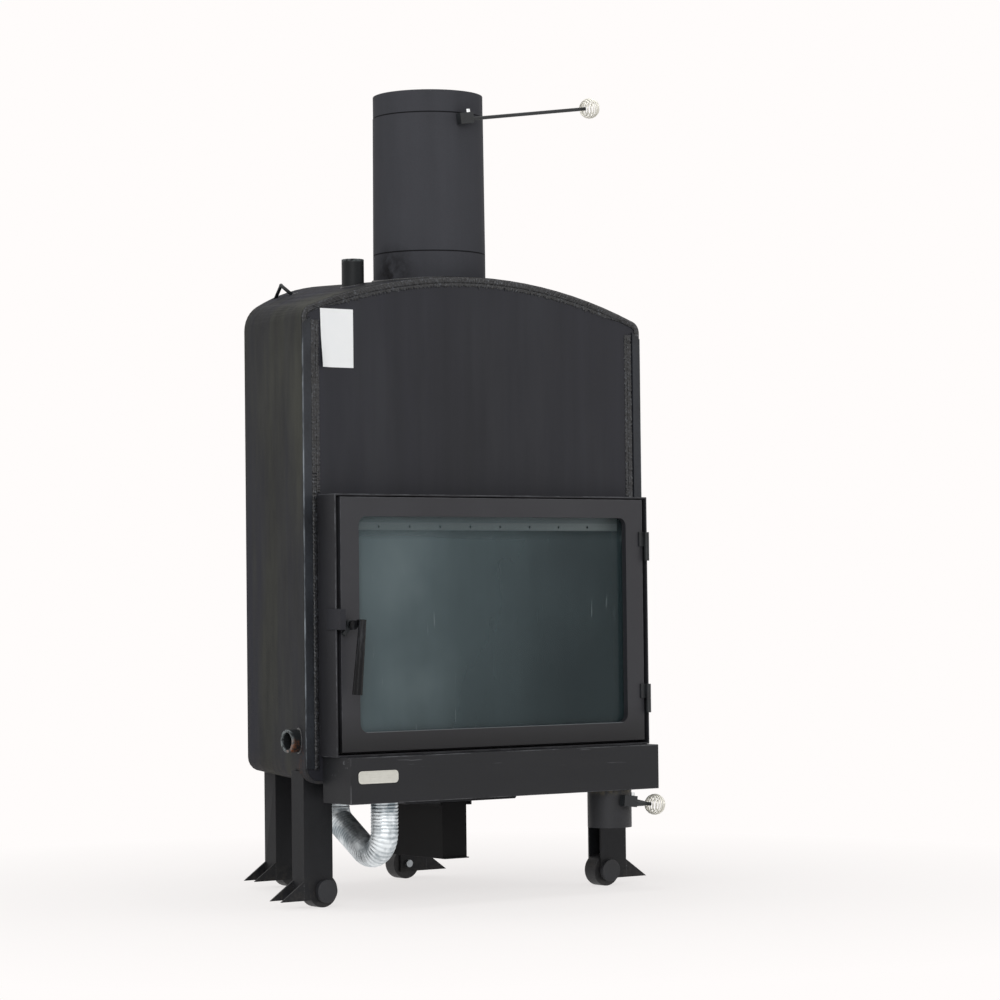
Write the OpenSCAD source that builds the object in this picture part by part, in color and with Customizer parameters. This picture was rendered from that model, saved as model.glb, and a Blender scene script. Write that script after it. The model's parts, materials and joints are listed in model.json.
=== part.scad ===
// Wood fired boiler fireplace: a welded water jacket round a steel firebox, with one glazed door,
// a flue with its damper, an air tray with an inlet damper and a free hose, and four legs on rollers.
// Millimetres. X points right as seen from the front, Y into the depth, Z up from the floor.

/* [Body] */
// Width of the body at its front plate
body_front_w = 740; // [710:5:770]
// Width of the body at its rear plate
body_rear_w = 406; // [390:2:430]
// Depth of the body from front face to rear face
body_depth = 460; // [450:5:480]
// Height of the underside above the floor
body_base_z = 216; // [214:1:230]
// Height of the front shoulder above the floor
front_shoulder_z = 1033; // [1010:1:1045]
// Height of the front crown above the floor
front_crown_z = 1104; // [1090:1:1120]
// Height of the rear shoulder above the floor
rear_shoulder_z = 1062; // [1045:1:1075]
// Height of the rear crown above the floor
rear_crown_z = 1127; // [1115:1:1140]
// Radius of the front shoulder corners
front_corner_r = 22; // [15:1:40]
// Radius of the rear shoulder corners
rear_corner_r = 54; // [45:1:75]
// Radius of the lower long corners
base_corner_r = 26; // [20:1:32]
// Thickness of the jacket sheet
jacket_t = 5; // [4:0.5:6]
// Thickness of the front and rear plates
plate_t = 5; // [4:0.5:6]
// Gap that holds the water
water_gap = 40; // [35:1:45]
// Thickness of the firebox sheet
shell_t = 5; // [4:0.5:6]
// Thickness of the weld bead and the corner strips
bead_t = 3; // [2:0.5:4]
// Width of the weld bead
bead_w = 12; // [8:1:14]
// Width of the corner strips
strip_w = 18; // [12:1:19]

/* [Flue] */
// Outer diameter of the flue at its top
flue_d = 200; // [190:1:204]
// Outer diameter of the flue at the collar
flue_collar_d = 204; // [200:1:210]
// Wall of the flue
flue_t = 3; // [2:0.5:4]
// Depth of the flue axis behind the front face
flue_y = 145; // [140:1:170]
// Height of the collar seam
flue_seam_z = 1155; // [1148:1:1170]
// Height of the upper seam
flue_ring_z = 1405; // [1399:0.5:1410]
// Height of the flue top
flue_top_z = 1445; // [1435:1:1480]
// Height of the damper spindle
flue_axis_z = 1391; // [1386:1:1393]
// Reach of the damper lever from the spindle to the knob centre
flue_lever_l = 290; // [240:5:300]
// Rise of the damper lever at rest in degrees
flue_lever_rise = 8.5; // [4:0.5:12]

/* [Water sockets] */
// Outer diameter of the sockets
socket_d = 40; // [38:0.5:42]
// Bore of the sockets
socket_bore_d = 30.3; // [28:0.1:32]
// Distance of the flow socket left of the middle
flow_x = 167; // [160:1:200]
// Height of the flow socket's mouth
flow_top_z = 1140; // [1130:1:1150]
// Length of the flow socket
flow_l = 60; // [58:1:64]
// Depth of the return socket behind the front face
return_y = 43; // [38:1:60]
// Height of the return socket's axis
return_z = 289; // [280:1:320]
// Length of the return socket
return_l = 35; // [33:1:38]

/* [Door casing] */
// Width of the casing
casing_w = 680; // [678:0.5:684]
// Depth of the casing in front of the plate
casing_depth = 54; // [53:0.5:60]
// Height of the casing
casing_h = 450; // [449:0.5:454]
// Thickness of the casing sheet
casing_t = 3; // [2.5:0.5:3]
// Distance of the sealing flange's face in front of the plate
flange_y = 20; // [19:0.5:20]
// Width of the firebox mouth
mouth_w = 600; // [590:2:606]
// Height of the firebox mouth
mouth_h = 385; // [375:1:388]
// Height of the mouth's lower edge above the casing's base
mouth_lift = 32.5; // [31:0.5:34]

/* [Door] */
// Width of the door leaf
door_w = 658; // [655:0.5:660]
// Height of the door leaf
door_h = 437; // [434:0.5:438]
// Thickness of the door leaf
door_t = 25; // [24:0.5:25]
// Gap under the door leaf inside the casing
door_gap = 5; // [4.5:0.1:5.5]
// Width of the glass opening
glass_open_w = 582; // [570:2:584]
// Height of the glass opening
glass_open_h = 370.5; // [362:0.5:371]
// Width of the frame under the glass opening
door_sill = 33; // [32:0.5:34]
// Corner radius of the glass opening
glass_open_r = 15; // [8:1:20]
// Thickness of the glass
glass_t = 4; // [3:0.5:5]
// Radius of the hinge knuckles
knuckle_r = 4.75; // [4.5:0.05:5]
// Length of one hinge, both knuckles
hinge_l = 52; // [44:1:60]

/* [Handle] */
// Length of the grip
grip_l = 128.6; // [110:1:140]
// Radius of the grip at its upper end
grip_top_r = 6.5; // [6:0.1:7]
// Radius of the grip at its lower end
grip_low_r = 8.75; // [8:0.1:10]
// Lean of the grip at rest in degrees
grip_lean = 5.6; // [2:0.2:8]
// Height of the handle pivot above the door's lower edge
handle_lift = 217.4; // [200:1:260]

/* [Air tray] */
// Width of the tray
tray_w = 668.6; // [650:2:680]
// Depth of the tray in front of the plate
tray_depth = 87.2; // [84:0.2:88]
// Height of the tray's lower face above the floor
tray_base_z = 183; // [181:1:186]
// Height of the tray
tray_h = 79.6; // [76:0.5:82]
// Thickness of the tray sheet
tray_t = 3; // [2:0.5:4]
// Outer diameter of the air inlet
inlet_d = 80; // [78:0.5:81]
// Distance of the air inlet right of the middle
inlet_x = 255; // [240:1:260]
// Depth of the ports' axes in front of the plate
port_y = 42; // [41.5:0.5:43]
// Height of the inlet's mouth above the floor
inlet_base_z = 115; // [112:1:116]
// Height of the inlet damper's spindle
inlet_axis_z = 162; // [160:0.5:162]
// Reach of the inlet lever from the spindle to the knob centre
inlet_lever_l = 66; // [65:0.5:70]
// Droop of the inlet lever at rest in degrees
inlet_lever_droop = 6.3; // [4:0.1:8]

/* [Knobs] */
// Thickness of the knob wire
knob_wire_d = 2.6; // [2:0.1:3]
// Outer diameter of the knobs
knob_d = 38.2; // [34:0.2:38.4]
// Length of the knobs
knob_l = 36; // [34:1:38]

/* [Air hose] */
// Outer diameter of the hose
hose_d = 48; // [46:0.5:50]
// Bore of the hose
hose_bore_d = 42; // [41:0.5:43]
// Depth of a rib's valley
rib_depth = 1.5; // [0.5:0.1:1.5]
// Spacing of the ribs
rib_pitch = 6; // [5:0.5:8]

/* [Ash box] */
// Width of the ash box
ash_w = 53; // [50:0.5:55]
// Length of the ash box
ash_l = 216; // [200:2:230]
// Height of the ash box's floor above the ground
ash_base_z = 65; // [60:1:80]
// Height of the ash box
ash_h = 101; // [80:1:101]
// Distance of the ash box's face behind the front plate
ash_y = 84; // [82:1:88]
// Thickness of the ash box's sheet
ash_t = 1.5; // [1:0.1:2]

/* [Legs] */
// Width of a leg channel
leg_w = 58.5; // [56:0.5:60]
// Depth of a leg channel
leg_depth = 39; // [38:0.5:42]
// Thickness of a leg channel
leg_t = 4; // [3:0.5:4.5]
// Height of a leg's lower end above the floor
leg_base_z = 14; // [11:0.5:18]
// Distance of the front legs' outer faces from the middle
front_leg_x = 352; // [345:1:353]
// Distance of the rear legs' outer faces from the middle
rear_leg_x = 168.5; // [160:0.5:172]
// Depth of the front legs behind the front face
front_leg_y = 34.4; // [32:0.2:40]
// Depth of the rear legs behind the front face
rear_leg_y = 419; // [405:1:421]
// Reach of the foot gussets
gusset_l = 47; // [40:1:55]
// Height of the foot gussets
gusset_h = 33; // [25:1:40]
// Radius of the rollers
roller_r = 29; // [27:0.5:32]
// Length of the rollers
roller_l = 30; // [27:0.5:30]
// Distance of the roller axles from the legs' outer faces
axle_inset = 42; // [36:0.5:45]
// Radius of the axles
axle_r = 5; // [4:0.5:6]

/* [Hidden] */

$fn = 64;
small_fn = 32;

// Clearances and overruns that many pieces share
over = 1;
fit = 0.1;
run = 0.05;
near = 0.3;
weld_gap = 0.5;

// Sheet colours of the real object
black_steel = "#38383b";
side_steel = "#40403f";
strip_steel = "#3a3f47";
door_steel = "#434246";
tray_steel = "#2f3133";
flue_steel = "#3d3e40";
leg_steel = "#2c2d31";
dark_steel = "#232426";
bright_steel = "#c9cbcc";
rope_grey = "#55534e";

// Body outline
front_half = body_front_w / 2;
rear_half = body_rear_w / 2;
jacket_end = body_depth - plate_t;
shell_inset = jacket_t + water_gap;
shell_end = jacket_end - water_gap;
fillet_min = 2;
corner_steps = 5;
fillet_steps = 6;
arch_steps = 20;

function lerp(a, b, s) = a + (b - a) * s;
function share_at(y) = y / body_depth;
function half_at(y) = lerp(front_half, rear_half, share_at(y));
function arch_radius(half, rise) = (half * half + rise * rise) / (2 * rise);
function arc_points(cx, cz, r, a0, a1, n) =
    [for (i = [0:n]) [cx + r * cos(lerp(a0, a1, i / n)), cz + r * sin(lerp(a0, a1, i / n))]];

// One closed outline of the body: lower corners, side walls, shoulder fillets and arch
function outline(half0, shoulder, crown, corner, inset) =
    let (r0 = arch_radius(half0, crown - shoulder), half = half0 - inset, r = r0 - inset,
         rc = max(corner - inset, fillet_min), rb = max(base_corner_r - inset, fillet_min),
         zb = body_base_z + inset, arch_z = crown - r0, cx = half - rc,
         cz = arch_z + sqrt((r - rc) * (r - rc) - cx * cx), a = atan2(cz - arch_z, cx))
    concat(arc_points(half - rb, zb + rb, rb, -90, 0, corner_steps),
        arc_points(cx, cz, rc, 0, a, fillet_steps),
        [for (i = [1:arch_steps - 1]) let (g = lerp(a, 180 - a, i / arch_steps))
            [r * cos(g), arch_z + r * sin(g)]],
        arc_points(-cx, cz, rc, 180 - a, 180, fillet_steps),
        arc_points(rb - half, zb + rb, rb, 180, 270, corner_steps));

function front_outline(inset) =
    outline(front_half, front_shoulder_z, front_crown_z, front_corner_r, inset);
function rear_outline(inset) =
    outline(rear_half, rear_shoulder_z, rear_crown_z, rear_corner_r, inset);
function outline_at(y, inset) = let (a = front_outline(inset), b = rear_outline(inset))
    [for (i = [0:len(a) - 1]) lerp(a[i], b[i], share_at(y))];

// Solid between two depths that follows the tapering outline
module body_loft(y0, y1, inset) {
    a = outline_at(y0, inset);
    b = outline_at(y1, inset);
    n = len(a);
    points = concat([for (p = a) [p[0], y0, p[1]]], [for (p = b) [p[0], y1, p[1]]]);
    walls = [for (i = [0:n - 1]) let (j = (i + 1) % n) each [[i, j, n + j], [i, n + j, n + i]]];
    polyhedron(points, concat([[for (i = [n - 1:-1:0]) i]], walls, [[for (i = [0:n - 1]) n + i]]));
}

// Height of the body's top surface at a place, taken from the same outline
function top_z(x, y) =
    let (h = half_at(y), zs = lerp(front_shoulder_z, rear_shoulder_z, share_at(y)),
         zc = lerp(front_crown_z, rear_crown_z, share_at(y)), r = arch_radius(h, zc - zs))
    zc - r + sqrt(r * r - x * x);

// Extrudes an outline drawn in X and Z from y0 towards the front by t
module to_front(y0, t) translate([0, y0, 0]) rotate([90, 0, 0]) linear_extrude(t) children();

// Box between two corners
module block(a, b) translate(a) cube(b - a);

// Round bar along Y, X or Z
module along_y(x, y0, y1, z, r, n = $fn)
    translate([x, y0, z]) rotate([-90, 0, 0]) cylinder(h = y1 - y0, r = r, $fn = n);
module along_x(x0, x1, y, z, r, n = $fn)
    translate([x0, y, z]) rotate([0, 90, 0]) cylinder(h = x1 - x0, r = r, $fn = n);
module along_z(x, y, z0, z1, r, n = $fn)
    translate([x, y, z0]) cylinder(h = z1 - z0, r = r, $fn = n);

// Rectangle with round corners in a plane
module round_rect(x0, x1, z0, z1, r) {
    translate([x0 + r, z0]) square([x1 - x0 - 2 * r, z1 - z0]);
    translate([x0, z0 + r]) square([x1 - x0, z1 - z0 - 2 * r]);
    for (x = [x0 + r, x1 - r], z = [z0 + r, z1 - r]) translate([x, z]) circle(r = r);
}

// Legs, rollers and axles
function leg_centre(leg_x) = leg_x - axle_inset;
front_axle_y = front_leg_y + leg_depth / 2;
rear_axle_y = rear_leg_y + leg_depth / 2;
axle_z = roller_r;
cap_r = 20;
cap_t = 10;
pin_tail = 2;
bolt_head_r = 7;
bolt_head_t = 6.5;
nut_af = 15;
nut_t = 6.5;
bolt_tail = 2;
leg_trim_share = 0.8;

// Knob, levers and dampers
knob_wire_r = knob_wire_d / 2;
knob_turns = 7;
knob_rings = 8;
knob_sides = 6;
rod_r = 3.25;
knob_grip = 8;
clamp_back = 9;
clamp_front = 20;
clamp_down = 8;
clamp_up = 12;
clamp_half_t = 6.5;
clamp_screw_x = 13;
clamp_screw_r = 2.5;
clamp_head_r = 4;
clamp_head_h = 6;
rod_seat = 8;
flue_spindle_r = 5;
inlet_spindle_r = 4;
flue_hub_gap = 2.5;
flue_hub_y = flue_y - flue_collar_d / 2 - flue_hub_gap - clamp_half_t;
inlet_hub_gap = 3;
inlet_hub_y = -port_y - inlet_d / 2 - inlet_hub_gap - clamp_half_t;
spindle_tail = 8;
spindle_collar_t = 3;
collar_rim = 3;
disc_t = 3;
flue_step = 0.5;
disc_gap = 0.8;
disc_hub_rim = 4;
disc_hub_share = 0.85;
cone_r = 7;
cone_end_r = 4;
cone_l = 24;

// The object stands over the middle of its own footprint
front_reach = inlet_hub_y - knob_d / 2;
rear_reach = max(body_depth, rear_leg_y + leg_depth + nut_t + bolt_tail);
plate_y = -(front_reach + rear_reach) / 2;
module placed() translate([0, plate_y, 0]) children();

// Weld bead and corner strips
bead_edge = 0.5;
strip_drop = 14;
strip_slope = 12;
strip_top_z = front_shoulder_z - strip_drop;
seam_edge = 0.5;

// Firebox
collar_dip = 5;
tube_r = 24.15;
tube_t = 2.9;
tube_pitch = 80;
tube_first_y = 70;
tube_count = 4;
tube_z = 840;
tube_tail = 4;
baffle_t = 6;
baffle_start = 15;
baffle_end = 320;
baffle_side = 2;
seat = 0.2;
hearth_z = body_base_z + shell_inset + shell_t;
grate_w = 220;
grate_l = 200;
grate_t = 12;
grate_y = 110;
grate_slots = 10;
grate_slot_w = 10;
grate_slot_l = 170;
throat_w = 200;
throat_l = 170;
throat_y = 125;
hopper_t = 3;
hopper_top_w = 310;
hopper_base_w = 240;
hopper_h = 48;
hopper_y = 62;
hopper_l = 263;
chute_w = 44;
chute_l = 180;
hopper_base_z = body_base_z - hopper_h;

// Ash box and its rails
ash_lip = 5.5;
ash_lip_t = 3;
ash_pull = 7;
ash_pull_t = 2;
rail_t = 2.5;
rail_web_t = 2.5;
rail_gap = 1;
rail_y = 80;
rail_l = 240;
ash_top_z = ash_base_z + ash_h;

// How deep the return socket stands in the jacket at its axis
return_root = 9.5;

// Lifting loops
loop_x = 150;
loop_y0 = 365;
loop_y1 = 438;
loop_peak_y = 413;
loop_rise = 21.5;
loop_r = 3.25;
loop_root = 6;
loop_bend_r = 3.7;

// Casing, door and glass
tray_top_z = tray_base_z + tray_h;
casing_base_z = tray_top_z;
casing_top_z = casing_base_z + casing_h;
casing_half = casing_w / 2;
mouth_half = mouth_w / 2;
mouth_base_z = casing_base_z + mouth_lift;
mouth_top_z = mouth_base_z + mouth_h;
door_half = door_w / 2;
door_base_z = casing_base_z + casing_t + door_gap;
door_top_z = door_base_z + door_h;
door_recess = 0.5;
door_y = -(casing_depth - door_recess);
door_back_y = door_y + door_t;
skin_t = 3;
glass_depth = 11;
tape_t = 2;
tape_w = 10;
rebate = 15;
rebate_wall = 3;
glass_lap = 12;
open_half = glass_open_w / 2;
open_base_z = door_base_z + door_sill;
open_top_z = open_base_z + glass_open_h;
tape_y = door_y + glass_depth;
glass_y = tape_y + tape_t;
glass_back_y = glass_y + glass_t;
pocket_floor = skin_t;
clip_w = 18;
clip_t = 2;
clip_lap = 6;
clip_seat = 1.5;
clip_hold = 11;
clip_screw_r = 2;
clip_head_r = 3;
clip_head_t = 2.5;
clip_screw_l = 8;
boss_w = 20;
side_clip_share = 0.25;
rope_w = 7;
rope_in = 7;
strip_air_t = 1.5;
strip_air_h = 33;
strip_air_side = 4;
strip_air_rise = 4;
strip_hole_r = 2.5;
strip_hole_side = 72.15;
strip_hole_drop = 6.5;
strip_holes = 8;
strip_hole_pitch = (mouth_w - 2 * strip_hole_side) / (strip_holes - 1);

// Hinges
hinge_side = 5.5;
hinge_x = casing_half - hinge_side;
hinge_y = -(casing_depth + knuckle_r + weld_gap);
pin_r = 3;
pin_short = 1;
tab_t = 3;
tab_l = 12;
upper_hinge_lift = 325.9;
lower_hinge_lift = 49.4;
hinge_lifts = [upper_hinge_lift, lower_hinge_lift];
hinge_gap = 0.2;

// Handle and latch
handle_side = 12;
handle_x = -(door_half - handle_side);
handle_z = door_base_z + handle_lift;
spindle_r = 5;
handle_hub_r = 8;
arm_t = 6;
arm_gap = 17;
arm_back_y = door_y - arm_gap;
arm_front_y = arm_back_y - arm_t;
grip_x = 12.5;
grip_rise = 9;
grip_hold = 6;
grip_seat_r = 6.5;
arm_web_h = 11;
stud_r = 3.5;
grip_slack = 0.5;
grip_y = arm_front_y - grip_top_r - grip_slack;
tongue_t = 6;
tongue_gap = 7;
tongue_back_y = door_y - tongue_gap;
tongue_front_y = tongue_back_y - tongue_t;
tongue_l = 21.8;
tongue_h = 8;
tongue_hub_r = 9;
tongue_fall = 50;
keeper_t = 3;
keeper_lip_t = 5;
keeper_h = 36;
keeper_drop = 8;
keeper_hold = 24;
keeper_lip_w = 9;
keeper_gap = 0.5;
handle_nut_r = 9;
handle_nut_t = 4;

// Plate and label, both bare
name_side = 15.3;
name_x = name_side - tray_w / 2;
name_w = 81.6;
name_lift = 34.6;
name_h = 21.8;
name_t = 1.5;
name_r = 7;
label_side = 38.3;
label_x = label_side - front_half;
label_w = 68.2;
label_drop = 69.4;
label_h = 101.7;
label_t = 0.4;

// Hose route: points in the object's plane before it is placed, then the bend radii
hose_route = [[-236, -42, 182], [-236, -42, 60], [-236, 110, 149], [-236, 110, 215]];
hose_bends = [42, 30];
hose_x = -236;
hose_in_y = -port_y;
hose_out_y = 110;
hose_sides = 8;
collar_t = 1;
collar_rim_w = 4;
spigot_t = 1.5;
spigot_l = 25;
spigot_r = hose_bore_d / 2 * cos(180 / hose_sides) - near;

function unit(v) = v / norm(v);
// Points along one bend of the route, as a list of place and direction
function bend_at(p0, p1, p2, r) =
    let (a = unit(p1 - p0), b = unit(p2 - p1), turn = acos(a * b), n = unit(cross(a, b)),
         cut = r * tan(turn / 2), c = p1 - a * cut + r * cross(n, a))
    [turn, cut, c, n, a];
bend_a = bend_at(hose_route[0], hose_route[1], hose_route[2], hose_bends[0]);
bend_b = bend_at(hose_route[1], hose_route[2], hose_route[3], hose_bends[1]);
run_1 = norm(hose_route[1] - hose_route[0]) - bend_a[1];
run_2 = norm(hose_route[2] - hose_route[1]) - bend_a[1] - bend_b[1];
run_3 = norm(hose_route[3] - hose_route[2]) - bend_b[1];
arc_1 = hose_bends[0] * bend_a[0] * PI / 180;
arc_2 = hose_bends[1] * bend_b[0] * PI / 180;
hose_length = run_1 + arc_1 + run_2 + arc_2 + run_3;

function on_bend(b, r, s) =
    let (g = s / r * 180 / PI, a = b[4], n = b[3], u = -cross(n, a))
    [b[2] + r * (u * cos(g) + a * sin(g)), unit(a * cos(g) - u * sin(g))];
function hose_at(s) =
    let (d0 = unit(hose_route[1] - hose_route[0]), d1 = unit(hose_route[2] - hose_route[1]),
         d2 = unit(hose_route[3] - hose_route[2]))
    s <= run_1 ? [hose_route[0] + d0 * s, d0]
    : s <= run_1 + arc_1 ? on_bend(bend_a, hose_bends[0], s - run_1)
    : s <= run_1 + arc_1 + run_2 ? [hose_route[1] + d1 * (bend_a[1] + s - run_1 - arc_1), d1]
    : s <= run_1 + arc_1 + run_2 + arc_2
        ? on_bend(bend_b, hose_bends[1], s - run_1 - arc_1 - run_2)
    : [hose_route[2] + d2 * (bend_b[1] + s - run_1 - arc_1 - run_2 - arc_2), d2];

// Ribs over the whole length, two rings for each: a crest and a valley
rib_count = round(hose_length / rib_pitch);
hose_rings = 2 * rib_count;
function hose_ring(i, r) =
    let (p = hose_at(hose_length * i / hose_rings), n = [1, 0, 0], b = cross(p[1], n))
    [for (k = [0:hose_sides - 1]) let (g = 360 * (k + 1 / 2) / hose_sides)
        p[0] + r * (cos(g) * n + sin(g) * b)];
function hose_radius(i) = i % 2 == 0 ? hose_d / 2 : hose_d / 2 - rib_depth;

// Faces of a swept skin: rings of m points, the ring numbers from k0 to k1
function skin(m, k0, k1, base, flip) =
    [for (k = [k0:k1 - 1], j = [0:m - 1])
        let (a = base + k * m + j, b = base + k * m + (j + 1) % m, c = b + m, d = a + m)
        each (flip ? [[a, b, c], [a, c, d]] : [[a, c, b], [a, d, c]])];

// Knob coil: an egg of one round wire, small at both ends, its axis along Z
knob_reach_r = knob_d / 2 - knob_wire_r;
knob_end_r = rod_r + knob_wire_r + seat;
knob_steps = knob_turns * knob_rings;
function knob_profile(t) = knob_end_r + (knob_reach_r - knob_end_r) * sqrt(sin(180 * t));
function knob_centre(i) = let (t = i / knob_steps, g = 360 * knob_turns * t, r = knob_profile(t))
    [r * cos(g), r * sin(g), knob_wire_r + (knob_l - knob_wire_d) * t];
function knob_ring(i) =
    let (c = knob_centre(i), a = knob_centre(max(i - 1, 0)), b = knob_centre(min(i + 1, knob_steps)),
         t = unit(b - a), g = 360 * knob_turns * i / knob_steps, q = [cos(g), sin(g), 0],
         n = unit(q - t * (q * t)), w = cross(t, n))
    [for (k = [0:knob_sides - 1]) let (h = 360 * k / knob_sides)
        c + knob_wire_r * (cos(h) * n + sin(h) * w)];
module knob_coil() {
    points = [for (i = [0:knob_steps]) each knob_ring(i)];
    last = knob_steps * knob_sides;
    polyhedron(points, concat([[for (k = [0:knob_sides - 1]) k]],
        skin(knob_sides, 0, knob_steps, 0, false),
        [[for (k = [knob_sides - 1:-1:0]) last + k]]));
}
// Least gap between any two turns of the knob wire, on the surface points
knob_gap = min([for (i = [0:knob_steps - knob_rings], j = [i + knob_rings - 2:min(i + knob_rings + 2,
    knob_steps)], p = knob_ring(i), q = knob_ring(j)) norm(p - q)]);
echo(knob_gap = knob_gap);
// Least gap between neighbouring crests of the hose ribs
hose_gap = min([for (i = [0:2:hose_rings - 2], k = [0:hose_sides - 1])
    norm(hose_ring(i, hose_radius(i))[k] - hose_ring(i + 2, hose_radius(i + 2))[k])]);
echo(hose_gap = hose_gap, hose_length = hose_length, rib_count = rib_count);

// Body pieces
module jacket_holes() {
    along_z(0, flue_y, flue_seam_z - body_base_z, flue_seam_z + over, flue_collar_d / 2 + fit);
    along_z(-flow_x, flue_y, flow_top_z - flow_l - over, flow_top_z, socket_d / 2 + fit);
    along_x(-front_half - return_l, -half_at(return_y) + return_l / 2, return_y, return_z,
        socket_d / 2 + fit);
    along_z(hose_x, hose_out_y, body_base_z - over, body_base_z + shell_inset + shell_t + over,
        spigot_r + fit);
    block([-throat_w / 2 - fit, throat_y - fit, body_base_z - over],
        [throat_w / 2 + fit, throat_y + throat_l + fit, hearth_z + over]);
}
module body_jacket() color(side_steel) placed() difference() {
    body_loft(0, jacket_end, 0);
    body_loft(-over, jacket_end + over, jacket_t);
    jacket_holes();
}
module front_plate() color(black_steel) placed() difference() {
    body_loft(0, plate_t, jacket_t + weld_gap);
    block([-mouth_half, -over, mouth_base_z], [mouth_half, plate_t + over, mouth_top_z]);
}
module rear_plate() color(side_steel) placed() to_front(body_depth, plate_t)
    polygon(outline_at(body_depth, weld_gap));

// Where the tray and the casing cover the front plate, nothing is welded on it
module covered_front() translate([-tray_w / 2 - seam_edge, 0])
    square([tray_w + 2 * seam_edge, casing_top_z]);

// The strips run up both front corners and end in a slant under the shoulder
module strip_shape() for (s = [-1, 1])
    polygon([[s * (front_half - bead_edge), body_base_z + base_corner_r],
        [s * (front_half - bead_edge), strip_top_z - strip_slope],
        [s * (front_half - strip_w), strip_top_z],
        [s * (front_half - strip_w), body_base_z + base_corner_r]]);
module corner_strips() color(strip_steel) placed() to_front(0, bead_t) difference() {
    strip_shape();
    covered_front();
}
module front_weld_bead() color(black_steel) placed() to_front(0, bead_t) difference() {
    polygon(front_outline(bead_edge));
    intersection() {
        polygon(front_outline(bead_w));
        union() {
            translate([-front_half, strip_top_z]) square([body_front_w, front_crown_z]);
            translate([-(front_half - strip_w - bead_w), 0])
                square([body_front_w - 2 * (strip_w + bead_w), front_crown_z]);
        }
    }
    for (s = [-1, 1]) translate([s * (front_half - strip_w / 2), strip_top_z - front_crown_z / 2])
        square([strip_w + seam_edge, front_crown_z + seam_edge], center = true);
    covered_front();
}

// Firebox shell with its rear wall, its front end against the front plate
module firebox_shell() color(dark_steel) placed() difference() {
    body_loft(plate_t, shell_end, shell_inset);
    body_loft(-over, shell_end - shell_t, shell_inset + shell_t);
    jacket_holes();
    for (i = [0:tube_count - 1]) along_x(-front_half, front_half, tube_first_y + i * tube_pitch,
        tube_z, tube_r + fit);
}
module water_tubes() color(dark_steel) placed() for (i = [0:tube_count - 1]) {
    y = tube_first_y + i * tube_pitch;
    reach = half_at(y - tube_r) - shell_inset + tube_tail;
    difference() {
        along_x(-reach, reach, y, tube_z, tube_r);
        along_x(-reach - over, reach + over, y, tube_z, tube_r - tube_t);
    }
}
module smoke_baffle() color(dark_steel) placed() {
    side = shell_inset + shell_t + baffle_side;
    translate([0, 0, tube_z + tube_r + seat]) linear_extrude(baffle_t)
        polygon([[side - half_at(baffle_start), baffle_start], [half_at(baffle_start) - side, baffle_start],
            [half_at(baffle_end) - side, baffle_end], [side - half_at(baffle_end), baffle_end]]);
}
module hearth_grate() color(dark_steel) placed() difference() {
    block([-grate_w / 2, grate_y, hearth_z], [grate_w / 2, grate_y + grate_l, hearth_z + grate_t]);
    for (i = [0:grate_slots - 1]) {
        x = (i - (grate_slots - 1) / 2) * 2 * grate_slot_w;
        block([x - grate_slot_w / 2, grate_y + (grate_l - grate_slot_l) / 2, hearth_z - over],
            [x + grate_slot_w / 2, grate_y + (grate_l + grate_slot_l) / 2, hearth_z + grate_t + over]);
    }
}

// Hopper under the body and the throat that leads down to it
module hopper_shape(t) polygon([[t - hopper_top_w / 2, body_base_z],
    [hopper_top_w / 2 - t, body_base_z], [hopper_base_w / 2 - t, hopper_base_z + t],
    [t - hopper_base_w / 2, hopper_base_z + t]]);
module ash_hopper() color(dark_steel) placed() {
    chute_y = ash_y + (ash_l - chute_l) / 2;
    difference() {
        to_front(hopper_y + hopper_l, hopper_l) hopper_shape(0);
        to_front(hopper_y + hopper_l - hopper_t, hopper_l - 2 * hopper_t) hopper_shape(hopper_t);
        block([-chute_w / 2, chute_y, hopper_base_z - over],
            [chute_w / 2, chute_y + chute_l, hopper_base_z + hopper_t + over]);
    }
    difference() {
        block([-throat_w / 2, throat_y, body_base_z - hopper_t],
            [throat_w / 2, throat_y + throat_l, hearth_z]);
        block([hopper_t - throat_w / 2, throat_y + hopper_t, body_base_z - hopper_t - over],
            [throat_w / 2 - hopper_t, throat_y + throat_l - hopper_t, hearth_z + over]);
    }
    difference() {
        block([-hopper_top_w / 2 + hopper_t, hopper_y + hopper_t / 2, body_base_z - hopper_t],
            [hopper_top_w / 2 - hopper_t, hopper_y + hopper_l - hopper_t / 2, body_base_z]);
        block([hopper_t - throat_w / 2, throat_y + hopper_t, body_base_z - hopper_t - over],
            [throat_w / 2 - hopper_t, throat_y + throat_l - hopper_t, body_base_z + over]);
    }
}

// Two rails under the hopper carry the lips of the ash box
module ash_box_rails() color(dark_steel) placed() for (s = [-1, 1]) {
    web_x = ash_w / 2 + ash_lip + rail_gap;
    flange_z = ash_top_z - ash_lip_t - near;
    mirror([s < 0 ? 1 : 0, 0, 0]) {
        block([web_x, rail_y, flange_z - rail_t], [web_x + rail_web_t, rail_y + rail_l, hopper_base_z]);
        block([ash_w / 2 + rail_gap, rail_y, flange_z - rail_t], [web_x, rail_y + rail_l, flange_z]);
    }
}
module ash_box() color(black_steel) placed() {
    difference() {
        union() {
            block([-ash_w / 2, ash_y, ash_base_z], [ash_w / 2, ash_y + ash_l, ash_top_z]);
            block([-ash_w / 2 - ash_lip, ash_y, ash_top_z - ash_lip_t],
                [ash_w / 2 + ash_lip, ash_y + ash_l, ash_top_z]);
        }
        block([ash_t - ash_w / 2, ash_y + ash_t, ash_base_z + ash_t],
            [ash_w / 2 - ash_t, ash_y + ash_l - ash_t, ash_top_z + over]);
    }
    block([-ash_w / 2, ash_y - ash_pull, ash_base_z], [ash_w / 2, ash_y, ash_base_z + ash_pull_t]);
}

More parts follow.
